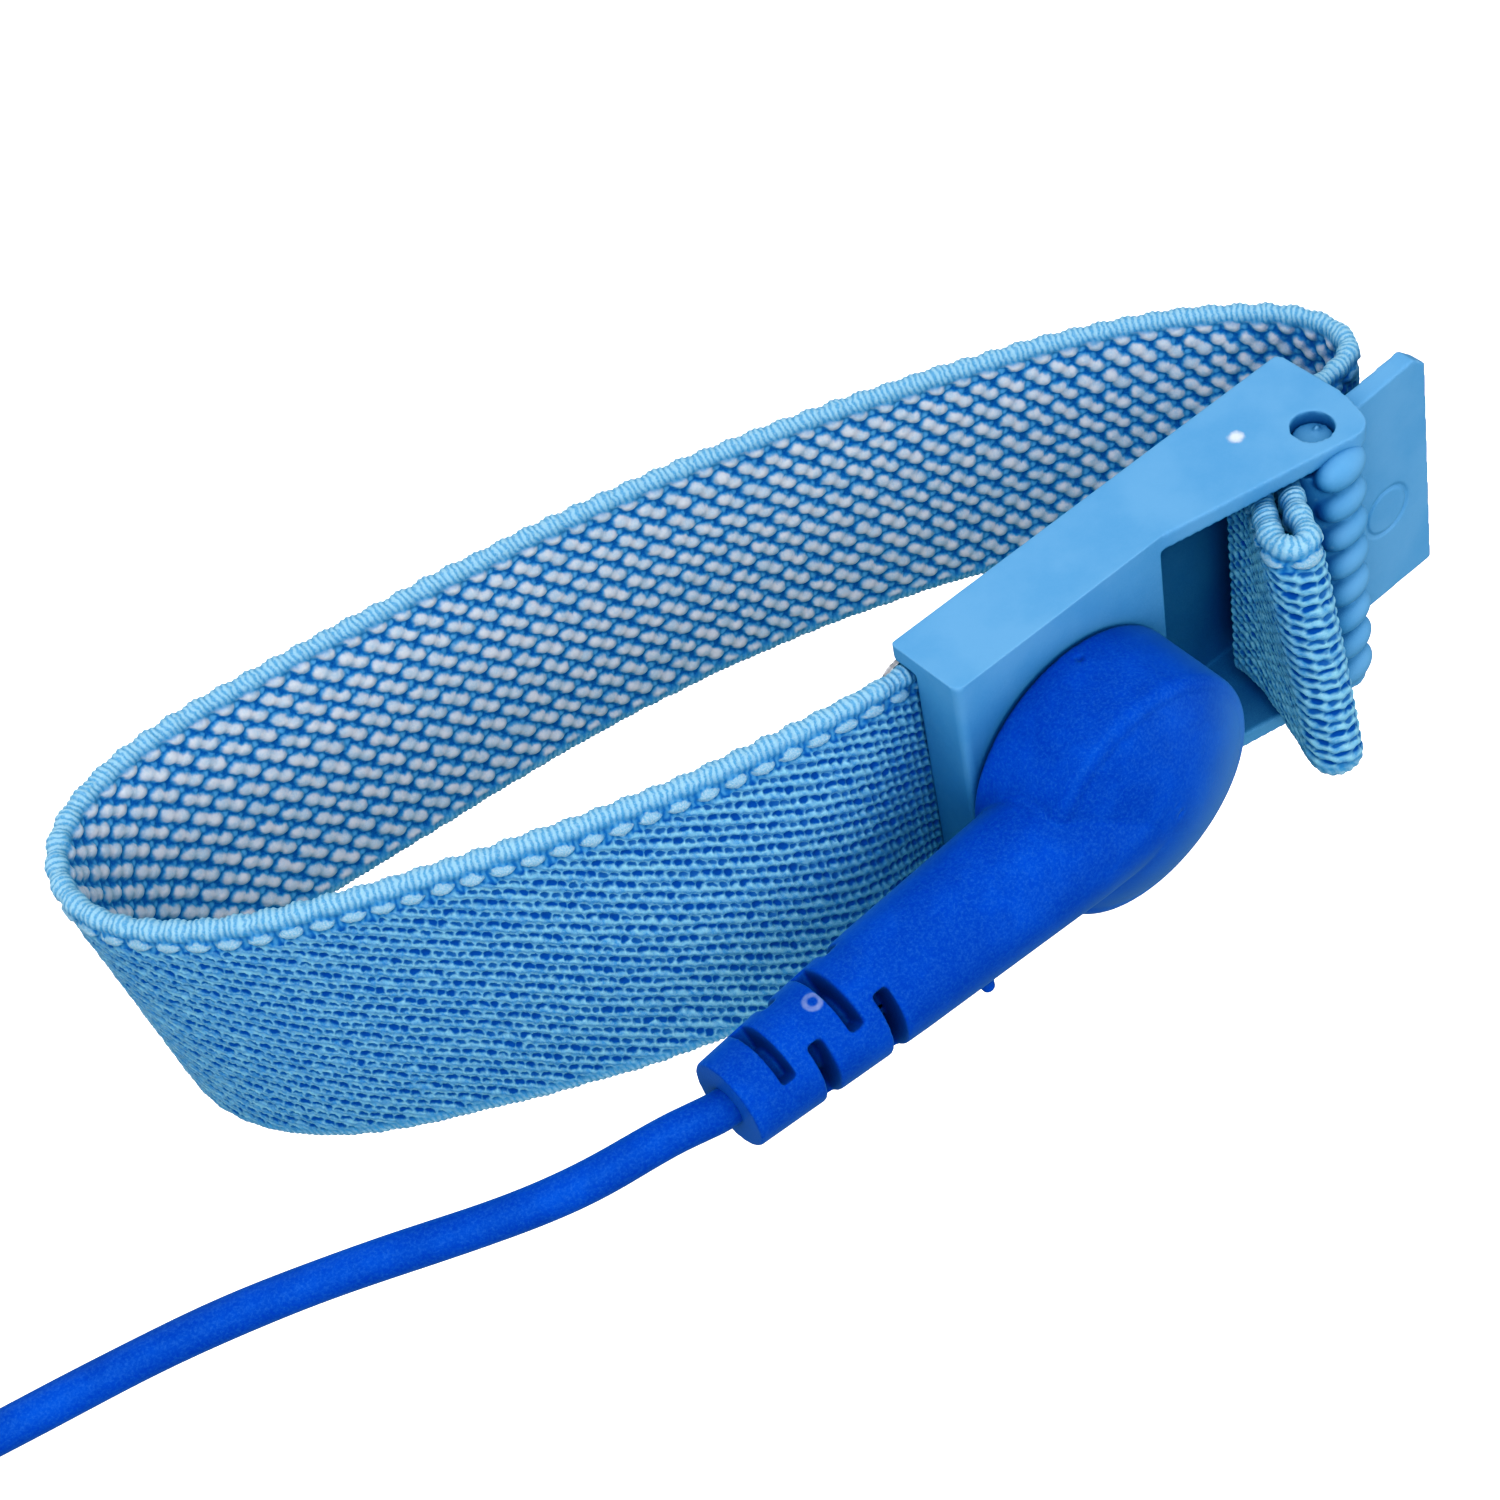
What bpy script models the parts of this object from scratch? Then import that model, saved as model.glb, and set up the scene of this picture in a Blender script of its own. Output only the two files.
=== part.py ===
"""ESD wrist strap: elastic knit band on a cam buckle, snap-on plug with resistor, cord and ground clip.

Frame: +X runs along the buckle from the band's fixed end to the lever, -Y points out from the wrist
towards the snap, and +Z is across the band. The origin is on the snap's axis, on the face of the
contact plate that touches the wrist. Sizes are in millimetres, and MM turns them into metres.
"""

import math

import bmesh
import bpy
import numpy as np
from mathutils import Matrix, Vector

MM = 0.001
FACETS = 32  # sides of a round piece

# ---- driving dimensions -------------------------------------------------------------------------
BAND_WIDTH = 19.0
BAND_THICK = 1.9
BAND_MIDDLE = 0.9  # z of the band's middle: it lies nearer the upper ear
FRAME_ENDS = (-11.4, 11.9)  # z of the outer faces of the two ears
EAR_THICK = 1.3
FRAME_NEAR = -8.4  # x of the end where the band is fixed
FRAME_FAR = 25.2  # x of the end where the band passes through
FRAME_BACK = -1.0  # y of the side that faces the wrist
PLATFORM_FACE = -7.0  # y of the outer face that carries the snap
PLATFORM_END = 8.6  # x where the platform drops into the clamp recess
PLATFORM_WALL = 1.6
EAR_TOP = -10.24  # y of the ears' highest point
FLOOR_FACE = -2.0  # y of the clamp floor that the band lies on
PIVOT = (21.7, -7.3)  # x, y of the lever's axis
PIVOT_HOLE = 1.4
GUDGEON = 1.3
HUB = 2.7
TOOTH_TIP = 3.15
TOOTH_PITCH = 2.6
TOOTH_ANGLE = -63.0  # degrees from +X, with the lever open
LEVER_TIP = 32.9
LEVER_ENDS = (-8.9, 9.9)  # z of the lever's two sides
LEVER_PLATE = (-7.1, -5.7)  # y of the plate's outer and inner faces
PLATE_THICK = 0.4
POST = 1.5
STUD_NECK = 2.6
STUD_HEAD = 3.1
CAP = 8.75
CAP_BASE = -7.2
CAP_RIM = -14.0  # y where the cap's wall turns into its domed face
CAP_CROWN = -16.5
NECK_Y = -12.0  # height of the neck, the resistor and the cord above the wrist
NECK_ROOT = 4.45
NECK_WAIST = 3.8  # where the strain relief starts
NECK_END = 3.0
NECK_WAIST_X = -20.5
NECK_END_X = -32.9
RELIEF_SLOTS = (-22.5, -24.8, -27.5, -29.9)
SLOT_WIDTH = 1.1
CORD = 1.25
CORE = 0.45
CHAMBER = 1.45  # radius of the space round the resistor
CHAMBER_END_X = -22.6
CORE_X = -18.5  # where the stripped core starts
COIL_RADIUS = 4.75  # to the middle of the cord
COIL_PITCH = 2.95
COIL_TURNS = 15
COIL_START = (-84.0, 24.0, -5.0)
COIL_HEADING = 59.3  # degrees from +X
GROUND_OFFSET = 23.0  # between the coil's axis and the ground plug's
PLUG_LENGTH = 27.0
CORD_IN_PLUG = 7.0  # length of jacket inside the ground plug
PIN_LENGTH = 16.0
CLIP_LENGTH = 40.0
CLIP_PIVOT = 18.0  # from the clip's tail to its hinge
CLIP_HALF = 3.4
CLIP_SHEET = 0.5
PIVOT_EYE = 0.85
GAP = 0.3  # between a piece and the one that fits round it
PAST = 5.0  # how far a cutter reaches past the piece it cuts

CAVITY = (FRAME_ENDS[0] + EAR_THICK, FRAME_ENDS[1] - EAR_THICK)  # z of the ears' inner faces
OUTWARDS = Vector((0, -1, 0))
ALONG = Vector((math.cos(math.radians(COIL_HEADING)), math.sin(math.radians(COIL_HEADING)), 0))
BESIDE = Vector((-ALONG.y, ALONG.x, 0))  # to the left of the coil's heading

# The loop's upper edge: x, y, then how far its lower edge sits from it in x and y.
LOOP = (
    (-14.0, -0.8, 0.0, -3.4),
    (-22.2, 1.3, -0.5, -4.9),
    (-31.7, 4.8, -0.6, -4.7),
    (-42.0, 9.5, 0.3, -4.3),
    (-51.0, 15.5, 1.7, -4.5),
    (-54.1, 21.5, 1.9, -4.3),
    (-52.6, 26.5, 1.4, -3.8),
    (-47.0, 29.3, 0.6, -3.2),
    (-37.0, 28.8, 0.1, -2.7),
    (-18.7, 25.6, -0.2, -1.4),
    (-1.8, 21.0, 0.0, -0.6),
    (12.6, 15.2, 0.0, -0.7),
    (22.2, 10.1, -0.5, -1.1),
    (28.9, 4.3, -0.9, -1.3),
    (30.9, 0.3, -0.9, -1.1),
    (30.0, -2.9, -0.5, -0.5),
)
FIXED_Y = -1.86  # middle of the band where it is riveted
FLOOR_Y = -3.05  # middle of the band where it lies on the clamp floor
FIXED_END_X = 6.2
CLAMPED_END_X = 18.6


# ---- helpers ------------------------------------------------------------------------------------
def clear_scene():
    for obj in list(bpy.data.objects):
        bpy.data.objects.remove(obj)


def collection(name):
    made = bpy.data.collections.new(name)
    bpy.context.scene.collection.children.link(made)
    return made


def finish(name, colour, roughness, metallic=0.0):
    made = bpy.data.materials.new(name)
    made.use_nodes = True
    shader = made.node_tree.nodes["Principled BSDF"]
    shader.inputs["Base Color"].default_value = (*colour, 1)
    shader.inputs["Roughness"].default_value = roughness
    shader.inputs["Metallic"].default_value = metallic
    return made


def place(obj, at, parent, group):
    """Links obj at a point of the frame, under the empty that stands on its joint's axis."""
    group.objects.link(obj)
    obj.location = Vector(at) * MM
    if parent is not None:
        obj.parent = parent
        obj.location = Vector(at) * MM - parent.location


def solid(name, bm, look, at=(0, 0, 0), parent=None, group=None):
    """An object from a bmesh drawn in the frame's millimetres, with its origin at a chosen point."""
    bmesh.ops.transform(bm, matrix=Matrix.Scale(MM, 4) @ Matrix.Translation(-Vector(at)), verts=bm.verts)
    bmesh.ops.recalc_face_normals(bm, faces=bm.faces)
    mesh = bpy.data.meshes.new(name)
    bm.to_mesh(mesh)
    bm.free()
    obj = bpy.data.objects.new(name, mesh)
    if look is not None:
        mesh.materials.append(look)
    place(obj, at, parent, group or PARTS)
    return obj


def hidden(obj):
    """The same object, left out of the part: it only cuts others or is joined to them."""
    obj.hide_render = True
    obj.display_type = "WIRE"
    return obj


def helper(name, bm):
    return hidden(solid(name, bm, None, group=TOOLS))


def combine(obj, tool, operation, label):
    modifier = obj.modifiers.new(label, "BOOLEAN")
    modifier.operation = operation
    modifier.solver = "EXACT"
    modifier.object = tool


def cut(obj, tool):
    combine(obj, tool, "DIFFERENCE", "Cut " + tool.name)


def join(obj, tool):
    combine(obj, tool, "UNION", "Join " + tool.name)


def round_over(obj, width, segments=2, angle=40):
    bevel = obj.modifiers.new("Rounded edges", "BEVEL")
    bevel.width = width * MM
    bevel.segments = segments
    bevel.limit_method = "ANGLE"
    bevel.angle_limit = math.radians(angle)


def smooth(obj, angle=35):
    obj.data.shade_smooth()
    obj.data.set_sharp_from_angle(angle=math.radians(angle))


def add_box(bm, low, high, turn=Matrix.Identity(4)):
    low, high = Vector(low), Vector(high)
    shape = Matrix.Translation((low + high) / 2) @ turn @ Matrix.Diagonal((*(high - low), 1))
    bmesh.ops.create_cube(bm, size=1, matrix=shape)


def aim(direction):
    """The rotation that turns +Z to a direction."""
    return Vector((0, 0, 1)).rotation_difference(Vector(direction)).to_matrix().to_4x4()


def add_cylinder(bm, start, end, radius, end_radius=None, facets=FACETS):
    start, end = Vector(start), Vector(end)
    shape = Matrix.Translation((start + end) / 2) @ aim(end - start)
    bmesh.ops.create_cone(
        bm,
        cap_ends=True,
        segments=facets,
        radius1=radius,
        radius2=radius if end_radius is None else end_radius,
        depth=(end - start).length,
        matrix=shape,
    )


def cylinder(name, start, end, radius, end_radius=None, facets=FACETS):
    bm = bmesh.new()
    add_cylinder(bm, start, end, radius, end_radius, facets)
    return helper(name, bm)


def box(name, low, high):
    bm = bmesh.new()
    add_box(bm, low, high)
    return helper(name, bm)


def turned(name, profile, at, direction, look, parent=None, closed=False, facets=FACETS, group=None):
    """A turned piece: (radius, height) points down its outer side, about a line from a point."""
    bm = bmesh.new()
    points = [bm.verts.new((r * MM, 0, h * MM)) for r, h in profile]
    pairs = list(zip(points, points[1:]))
    if closed:
        pairs.append((points[-1], points[0]))
    for pair in pairs:
        bm.edges.new(pair)
    mesh = bpy.data.meshes.new(name)
    bm.to_mesh(mesh)
    bm.free()
    if look is not None:
        mesh.materials.append(look)
    obj = bpy.data.objects.new(name, mesh)
    place(obj, at, parent, group or PARTS)
    obj.rotation_euler = aim(direction).to_euler()
    screw = obj.modifiers.new("Turned", "SCREW")
    screw.steps = facets
    screw.render_steps = facets
    screw.use_merge_vertices = True
    screw.merge_threshold = 0.00001
    return obj


def rounded(corners, steps=5):
    """An outline from (x, y, fillet radius) corners, with an arc at each filleted one."""
    outline = []
    for i, (x, y, r) in enumerate(corners):
        here = Vector((x, y))
        if r == 0:
            outline.append(here)
            continue
        back = (Vector(corners[i - 1][:2]) - here).normalized()
        ahead = (Vector(corners[(i + 1) % len(corners)][:2]) - here).normalized()
        half = back.angle(ahead) / 2
        middle = here + (back + ahead).normalized() * (r / math.sin(half))
        first = here + back * (r / math.tan(half)) - middle
        last = here + ahead * (r / math.tan(half)) - middle
        sweep = math.atan2(first.x * last.y - first.y * last.x, first.dot(last))
        for k in range(steps + 1):
            outline.append(middle + Matrix.Rotation(sweep * k / steps, 2) @ first)
    return outline


def slab(name, outline, low, high):
    """A flat outline in x and y, filled and given its height in z, as one closed mesh."""
    curve = bpy.data.curves.new(name, "CURVE")
    curve.dimensions = "2D"
    curve.fill_mode = "BOTH"
    curve.extrude = (high - low) / 2 * MM
    line = curve.splines.new("POLY")
    line.points.add(len(outline) - 1)
    for point, (x, y) in zip(line.points, outline):
        point.co = (x * MM, y * MM, 0, 1)
    line.use_cyclic_u = True
    drawn = bpy.data.objects.new(name, curve)
    bpy.context.scene.collection.objects.link(drawn)
    bm = meshed(drawn)
    bmesh.ops.translate(bm, vec=(0, 0, (low + high) / 2), verts=bm.verts)
    return bm


def meshed(drawn):
    """The closed mesh of a curve object, in millimetres. The curve is removed."""
    bpy.context.view_layer.update()
    mesh = bpy.data.meshes.new_from_object(drawn.evaluated_get(bpy.context.evaluated_depsgraph_get()))
    bm = bmesh.new()
    bm.from_mesh(mesh)
    bmesh.ops.remove_doubles(bm, verts=bm.verts, dist=0.000001)
    bmesh.ops.scale(bm, vec=(1 / MM,) * 3, verts=bm.verts)
    bpy.data.meshes.remove(mesh)
    bpy.data.objects.remove(drawn)
    return bm


def wire(name, points, radius, look, parent=None, resolution=2):
    """A round wire through points, with closed ends."""
    curve = bpy.data.curves.new(name, "CURVE")
    curve.dimensions = "3D"
    curve.bevel_depth = radius * MM
    curve.bevel_resolution = resolution
    curve.use_fill_caps = True
    line = curve.splines.new("POLY")
    line.points.add(len(points) - 1)
    for point, where in zip(line.points, points):
        point.co = (*(Vector(where) * MM), 1)
    curve.materials.append(look)
    obj = bpy.data.objects.new(name, curve)
    place(obj, (0, 0, 0), parent, PARTS)
    return obj


def spline(points, count):
    """Evenly spaced points on the smoothest cubic through the given ones."""
    points = np.array(points, float)
    knots = np.r_[0, np.cumsum(np.linalg.norm(np.diff(points[:, :2], axis=0), axis=1))]
    gap = np.diff(knots)
    n = len(points)
    matrix, slope = np.eye(n), np.zeros_like(points)
    for i in range(1, n - 1):
        matrix[i, i - 1 : i + 2] = gap[i - 1] / 6, (gap[i - 1] + gap[i]) / 3, gap[i] / 6
        slope[i] = (points[i + 1] - points[i]) / gap[i] - (points[i] - points[i - 1]) / gap[i - 1]
    bend = np.linalg.solve(matrix, slope)
    t = np.linspace(0, knots[-1], count)
    i = np.clip(np.searchsorted(knots, t) - 1, 0, n - 2)
    h = gap[i][:, None]
    a, b = (knots[i + 1] - t)[:, None] / h, (t - knots[i])[:, None] / h
    curved = (a**3 - a) * bend[i] + (b**3 - b) * bend[i + 1]
    return a * points[i] + b * points[i + 1] + curved * h**2 / 6


def joint_axis(name, at):
    empty = bpy.data.objects.new(name, None)
    empty.location = Vector(at) * MM
    empty.empty_display_size = 0.005
    PARTS.objects.link(empty)
    return empty


# ---- buckle -------------------------------------------------------------------------------------
def buckle_frame(look):
    """Two ears and a platform in one moulding, open at the far end, with a hollow under the platform."""
    outline = rounded(
        (
            (FRAME_NEAR, FRAME_BACK, 0.4),
            (FRAME_NEAR, PLATFORM_FACE, 0.5),
            (PLATFORM_END, PLATFORM_FACE, 0),
            (FRAME_FAR - 1.0, EAR_TOP, 1.6),
            (FRAME_FAR, EAR_TOP + 3.4, 2.4),
            (FRAME_FAR, FRAME_BACK, 0.5),
        )
    )
    low, high = FRAME_ENDS
    frame = solid("buckle_frame", slab("frame", outline, low, high), look)
    above = EAR_TOP - PAST
    channel_top, channel_end, hollow_half, boss_radius = -3.1, 7.0, 8.6, 3.6
    inner_low, inner_high = CAVITY
    recess = ((PLATFORM_END, above, inner_low), (FRAME_FAR + PAST, FLOOR_FACE, inner_high))
    channel = ((FRAME_NEAR - PAST, channel_top, inner_low), (channel_end, PAST, inner_high))
    hollow_from = (FRAME_NEAR + PLATFORM_WALL, PLATFORM_FACE + PLATFORM_WALL, -hollow_half)
    cut(frame, box("clamp_recess", *recess))
    cut(frame, box("band_channel", *channel))
    cut(frame, box("platform_hollow", hollow_from, (channel_end, FRAME_BACK, hollow_half)))
    join(frame, cylinder("stud_boss", (0, PLATFORM_FACE + 1, 0), (0, channel_top + 0.1, 0), boss_radius))
    cut(frame, cylinder("post_hole", (0, above, 0), (0, PAST, 0), POST + 0.2))
    x, y = PIVOT
    cut(frame, cylinder("pivot_hole", (x, y, low - PAST), (x, y, high + PAST), PIVOT_HOLE))
    return frame


def clamp_lever(look, axis):
    """The finger plate, its hub with a row of rounded teeth, and the two gudgeons it turns on."""
    x, y = PIVOT
    low, high = LEVER_ENDS
    bm = bmesh.new()
    add_cylinder(bm, (x, y, low), (x, y, high), HUB)
    lever = solid("clamp_lever", bm, look, (x, y, 0), axis)
    outer, inner = LEVER_PLATE
    plate = slab(
        "plate",
        rounded(((x, outer, 0), (LEVER_TIP, outer, 0.4), (LEVER_TIP, inner, 0.4), (x, inner, 0))),
        low,
        high,
    )
    join(lever, helper("finger_plate", plate))
    hub = Matrix.Translation((x, y, 0)) @ Matrix.Rotation(math.radians(TOOTH_ANGLE), 4, "Z")
    ridge_half, ridge_inset = 1.1, 0.3
    ridge = bmesh.new()
    add_box(ridge, (1, -ridge_half, low + ridge_inset), (TOOTH_TIP, ridge_half, high - ridge_inset))
    bmesh.ops.transform(ridge, matrix=hub, verts=ridge.verts)
    join(lever, helper("tooth_ridge", ridge))
    notches = bmesh.new()
    notch_half = Vector((1.15, 4, 1.15)) / 2
    turn = Matrix.Rotation(math.radians(45), 4, "Y")
    count = int((high - low) / TOOTH_PITCH)
    for k in range(count + 1):
        centre = Vector((TOOTH_TIP + 0.2, 0, (low + high) / 2 + (k - count / 2) * TOOTH_PITCH))
        add_box(notches, centre - notch_half, centre + notch_half, turn)
    bmesh.ops.transform(notches, matrix=hub, verts=notches.verts)
    cut(lever, helper("tooth_notches", notches))
    sunk = 0.4
    ends = ((x, y, FRAME_ENDS[0] + sunk), (x, y, FRAME_ENDS[1] - sunk))
    join(lever, cylinder("gudgeons", *ends, GUDGEON))
    return lever


def contact_plate(look):
    """The stainless sheet that touches the skin."""
    half_x, half_z, corner = 9.0, 8.9, 1.5
    bm = bmesh.new()
    add_box(bm, (-half_x, -PLATE_THICK, -half_z), (half_x, 0, half_z))
    upright = [e for e in bm.edges if abs(e.verts[0].co.y - e.verts[1].co.y) > PLATE_THICK / 2]
    bmesh.ops.bevel(bm, geom=upright, offset=corner, segments=4, profile=0.5, affect="EDGES")
    return solid("contact_plate", bm, look)


def stud_post(look):
    """The rivet: its flange is welded to the contact plate, and its shank holds band, frame and stud."""
    low, high, flange, flange_thick = PLATE_THICK + 0.05, 9.9, 3.4, 0.35
    profile = (
        (0, high),
        (POST - 0.3, high),
        (POST, high - 0.3),
        (POST, low + flange_thick),
        (flange, low + flange_thick),
        (flange, low),
        (0, low),
    )
    return turned("stud_post", profile, (0, 0, 0), OUTWARDS, look)


def snap_stud(look):
    """The male half of the 10 mm snap: flange, neck and rolled head."""
    base = -PLATFORM_FACE + 0.05
    profile = (
        (POST + 0.1, base + 3.5),
        (STUD_HEAD - 0.7, base + 3.5),
        (STUD_HEAD - 0.2, base + 3.2),
        (STUD_HEAD, base + 2.7),
        (STUD_HEAD - 0.1, base + 2.2),
        (STUD_NECK, base + 1.7),
        (STUD_NECK, base + 0.6),
        (STUD_NECK + 0.3, base + 0.35),
        (4.7, base + 0.3),
        (4.9, base),
        (POST + 0.1, base),
    )
    return turned("snap_stud", profile, (0, 0, 0), OUTWARDS, look, closed=True)


# ---- band ---------------------------------------------------------------------------------------
def loop_edges(count):
    """Upper-edge points of the strip with the lower edge's offset, from the riveted end to the clamp."""
    riveted = [(x, FIXED_Y, 0, 0) for x in (FIXED_END_X, 2.0, -2.0, -5.5, FRAME_NEAR - 0.2)]
    entering = (FRAME_FAR - 0.4, FLOOR_Y - 0.35, 0, 0)
    clamped = [entering] + [(x, FLOOR_Y, 0, 0) for x in (PIVOT[0], CLAMPED_END_X)]
    return spline(riveted + list(LOOP) + clamped, count)


def band_loop(look):
    """The knitted strip from the rivet round the wrist to the clamp. Its lower edge leans outwards."""
    count = 110
    path = loop_edges(count)
    bm = bmesh.new()
    bmesh.ops.create_grid(bm, x_segments=count - 1, y_segments=2, size=1)
    half = BAND_WIDTH / 2
    for vertex in bm.verts:
        across = vertex.co.y
        x, y, lean_x, lean_y = path[round((vertex.co.x + 1) / 2 * (count - 1))]
        down = (1 - across) / 2
        vertex.co = (x + lean_x * down, y + lean_y * down, BAND_MIDDLE + across * half)
    strip = solid("band_loop", bm, look)
    skin = strip.modifiers.new("Thickness", "SOLIDIFY")
    skin.thickness = BAND_THICK * MM
    skin.offset = 0
    skin.use_even_offset = True
    cut(strip, cylinder("band_eyelet", (0, FIXED_Y - 2, 0), (0, FIXED_Y + 2, 0), POST + 0.2))
    return strip


def band_tail(look):
    """The strip's free end: it climbs out of the recess and is folded back on itself as a stop."""
    stem_x, stem_foot, half_stem = 17.4, -4.9, BAND_THICK / 2
    root, tip, half_fold = Vector((17.6, -8.6)), Vector((15.6, -12.6)), 1.75
    along = (tip - root).normalized()
    side = Vector((-along.y, along.x))
    middle = tip - along * half_fold * 0.4
    outline = [Vector((stem_x + half_stem, stem_foot)), root + side * half_fold]
    steps = 8
    for k in range(steps + 1):
        angle = math.pi * k / steps
        outline.append(middle + (side * math.cos(angle) + along * math.sin(angle)) * half_fold)
    outline += [root - side * half_fold, Vector((stem_x - half_stem, root.y + 1.0))]
    outline.append(Vector((stem_x - half_stem, stem_foot)))
    half = BAND_WIDTH / 2 - 0.2
    bm = slab("tail", outline, BAND_MIDDLE - half, BAND_MIDDLE + half)
    droop, droop_from, droop_over = 2.2, 8.0, 5.0
    for vertex in bm.verts:
        down = (BAND_MIDDLE + half - vertex.co.z) / (2 * half)
        free = min(1, max(0, (-vertex.co.y - droop_from) / droop_over))
        vertex.co.y -= droop * down * free
    return solid("band_tail", bm, look)


# ---- snap plug ----------------------------------------------------------------------------------
def neck_cutter(name, near, far, radius):
    """A bore along the neck, between two x positions."""
    return cylinder(name, (near, NECK_Y, 0), (far, NECK_Y, 0), radius)


def relief_slot(x, degrees):
    """A slot through one side of the neck's wall, turned about the neck."""
    bm = bmesh.new()
    half_chord, depth_from, depth_to = 3.2, 1.95, 6.0
    add_box(bm, (x - SLOT_WIDTH / 2, -half_chord, depth_from), (x + SLOT_WIDTH / 2, half_chord, depth_to))
    turn = Matrix.Rotation(math.radians(degrees), 4, "X")
    bmesh.ops.transform(bm, matrix=Matrix.Translation((0, NECK_Y, 0)) @ turn, verts=bm.verts)
    return helper(f"relief_slot_{-x:.0f}_{degrees}", bm)


def plug_cap(look, axis):
    """The overmoulding: a round cap over the snap socket, a tapering neck and a slotted strain relief."""
    edge, draft, steps = 0.9, 0.1, 5
    flat = CAP - draft - edge
    profile = []
    for k in range(2 * steps):
        radius = flat * k / (2 * steps)
        profile.append((radius, -CAP_RIM - (CAP_CROWN - CAP_RIM) * (1 - (radius / flat) ** 2)))
    for k in range(steps + 1):
        angle = math.pi / 2 * (1 - k / steps)
        profile.append((flat + edge * math.cos(angle), -CAP_RIM - edge * (1 - math.sin(angle))))
    profile += [(CAP, -CAP_BASE), (0, -CAP_BASE)]
    cap = turned("plug_cap", profile, (0, 0, 0), OUTWARDS, look, axis, facets=48)
    profile = (
        (0, -NECK_END_X),
        (NECK_END, -NECK_END_X),
        (NECK_WAIST, -NECK_WAIST_X),
        (NECK_ROOT, 6.0),
        (NECK_ROOT, 0.0),
        (0, 0.0),
    )
    neck = turned("neck", profile, (0, NECK_Y, 0), (-1, 0, 0), None, group=TOOLS)
    join(cap, hidden(neck))
    cut(cap, cylinder("socket_pocket", (0, CAP_BASE + 1, 0), (0, -12.0, 0), 5.3))
    cut(cap, neck_cutter("resistor_chamber", -3.2, CHAMBER_END_X, CHAMBER))
    cut(cap, neck_cutter("cord_bore", CHAMBER_END_X + 0.6, NECK_END_X - PAST, CORD + 0.15))
    for k, x in enumerate(RELIEF_SLOTS):
        for side in (0, 180):
            cut(cap, relief_slot(x, side + 90 * ((k + 1) % 2)))
    return cap


def snap_socket(look, axis):
    """The female half of the snap: a drawn cup with a rolled lip round the spring ring's groove."""
    lip, top = -CAP_BASE + 0.3, 11.3
    profile = (
        (0, top),
        (3.6, top),
        (3.95, top - 0.3),
        (4.0, lip + 1.9),
        (4.8, lip + 1.6),
        (4.9, lip + 0.2),
        (4.6, lip),
        (3.7, lip),
        (3.4, lip + 0.15),
        (3.4, lip + 0.45),
        (4.1, lip + 0.6),
        (4.1, lip + 1.25),
        (3.5, lip + 1.5),
        (3.5, top - 0.35),
        (0, top - 0.35),
    )
    return turned("snap_socket", profile, (0, 0, 0), OUTWARDS, look, axis)


def socket_spring(look, axis):
    """The open wire ring that grips the stud's neck."""
    radius, height = 3.65, -CAP_BASE + 1.22
    gap = math.radians(24)
    steps = 26
    points = []
    for k in range(steps + 1):
        angle = gap + (2 * math.pi - 2 * gap) * k / steps
        points.append((radius * math.cos(angle), -height, radius * math.sin(angle)))
    return wire("socket_spring", points, 0.22, look, axis, resolution=1)


def socket_terminal(look, axis):
    """The tin-plated tag that takes the resistor's lead to the socket."""
    half, tail_half, tail_end, base, thick = 2.4, 1.0, -5.0, 11.4, 0.25
    upper = [(half, half, 0.9), (-1.6, half, 1.2), (-2.6, tail_half, 0), (tail_end, tail_half, 0.5)]
    lower = [(x, -y, r) for x, y, r in upper[::-1]]
    bm = slab("tag", rounded(upper + lower, 3), base, base + thick)
    bmesh.ops.rotate(bm, matrix=Matrix.Rotation(math.radians(90), 3, "X"), verts=bm.verts)
    return solid("socket_terminal", bm, look, (0, CAP_BASE, 0), axis)


def resistor(body_look, lead_look, axis):
    """The one-megohm safety resistor: a dumb-bell body with a lead at each end."""
    start, length, radius, lead_radius, gap = -9.2, 6.3, 1.15, 0.28, 0.05
    half = length / 2
    bulge = [(0, half), (0.35, half), (0.95, half - 0.1), (radius, 2.6), (radius, 1.9), (radius - 0.2, 1.4)]
    profile = bulge + [(r, -h) for r, h in bulge[::-1]]
    middle = (start - half, NECK_Y, 0)
    turned("resistor_body", profile, middle, (1, 0, 0), body_look, axis, facets=20)
    leads = {
        "resistor_lead_socket": (-4.3, start + gap),
        "resistor_lead_cord": (start - length - gap, CORE_X + 0.2),
    }
    for name, (near, far) in leads.items():
        bm = bmesh.new()
        add_cylinder(bm, (near, NECK_Y, 0), (far, NECK_Y, 0), lead_radius, facets=12)
        solid(name, bm, lead_look, (near, NECK_Y, 0), axis)


def lead_crimp(look, axis):
    """The ferrule that joins the resistor's lead to the cord's core."""
    half, bore = 1.6, CORE + 0.07
    flare = [(0.85, half), (0.95, half - 0.3), (0.7, 0.5)]
    ring = flare + [(r, -h) for r, h in flare[::-1]] + [(bore, -half), (bore, half)]
    at = (CORE_X - 0.1, NECK_Y, 0)
    return turned("lead_crimp", ring, at, (1, 0, 0), look, axis, closed=True, facets=16)


def stripped_core(name, start, end, look, axis):
    bm = bmesh.new()
    add_cylinder(bm, start, end, CORE, facets=12)
    return solid(name, bm, look, start, axis)


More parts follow.
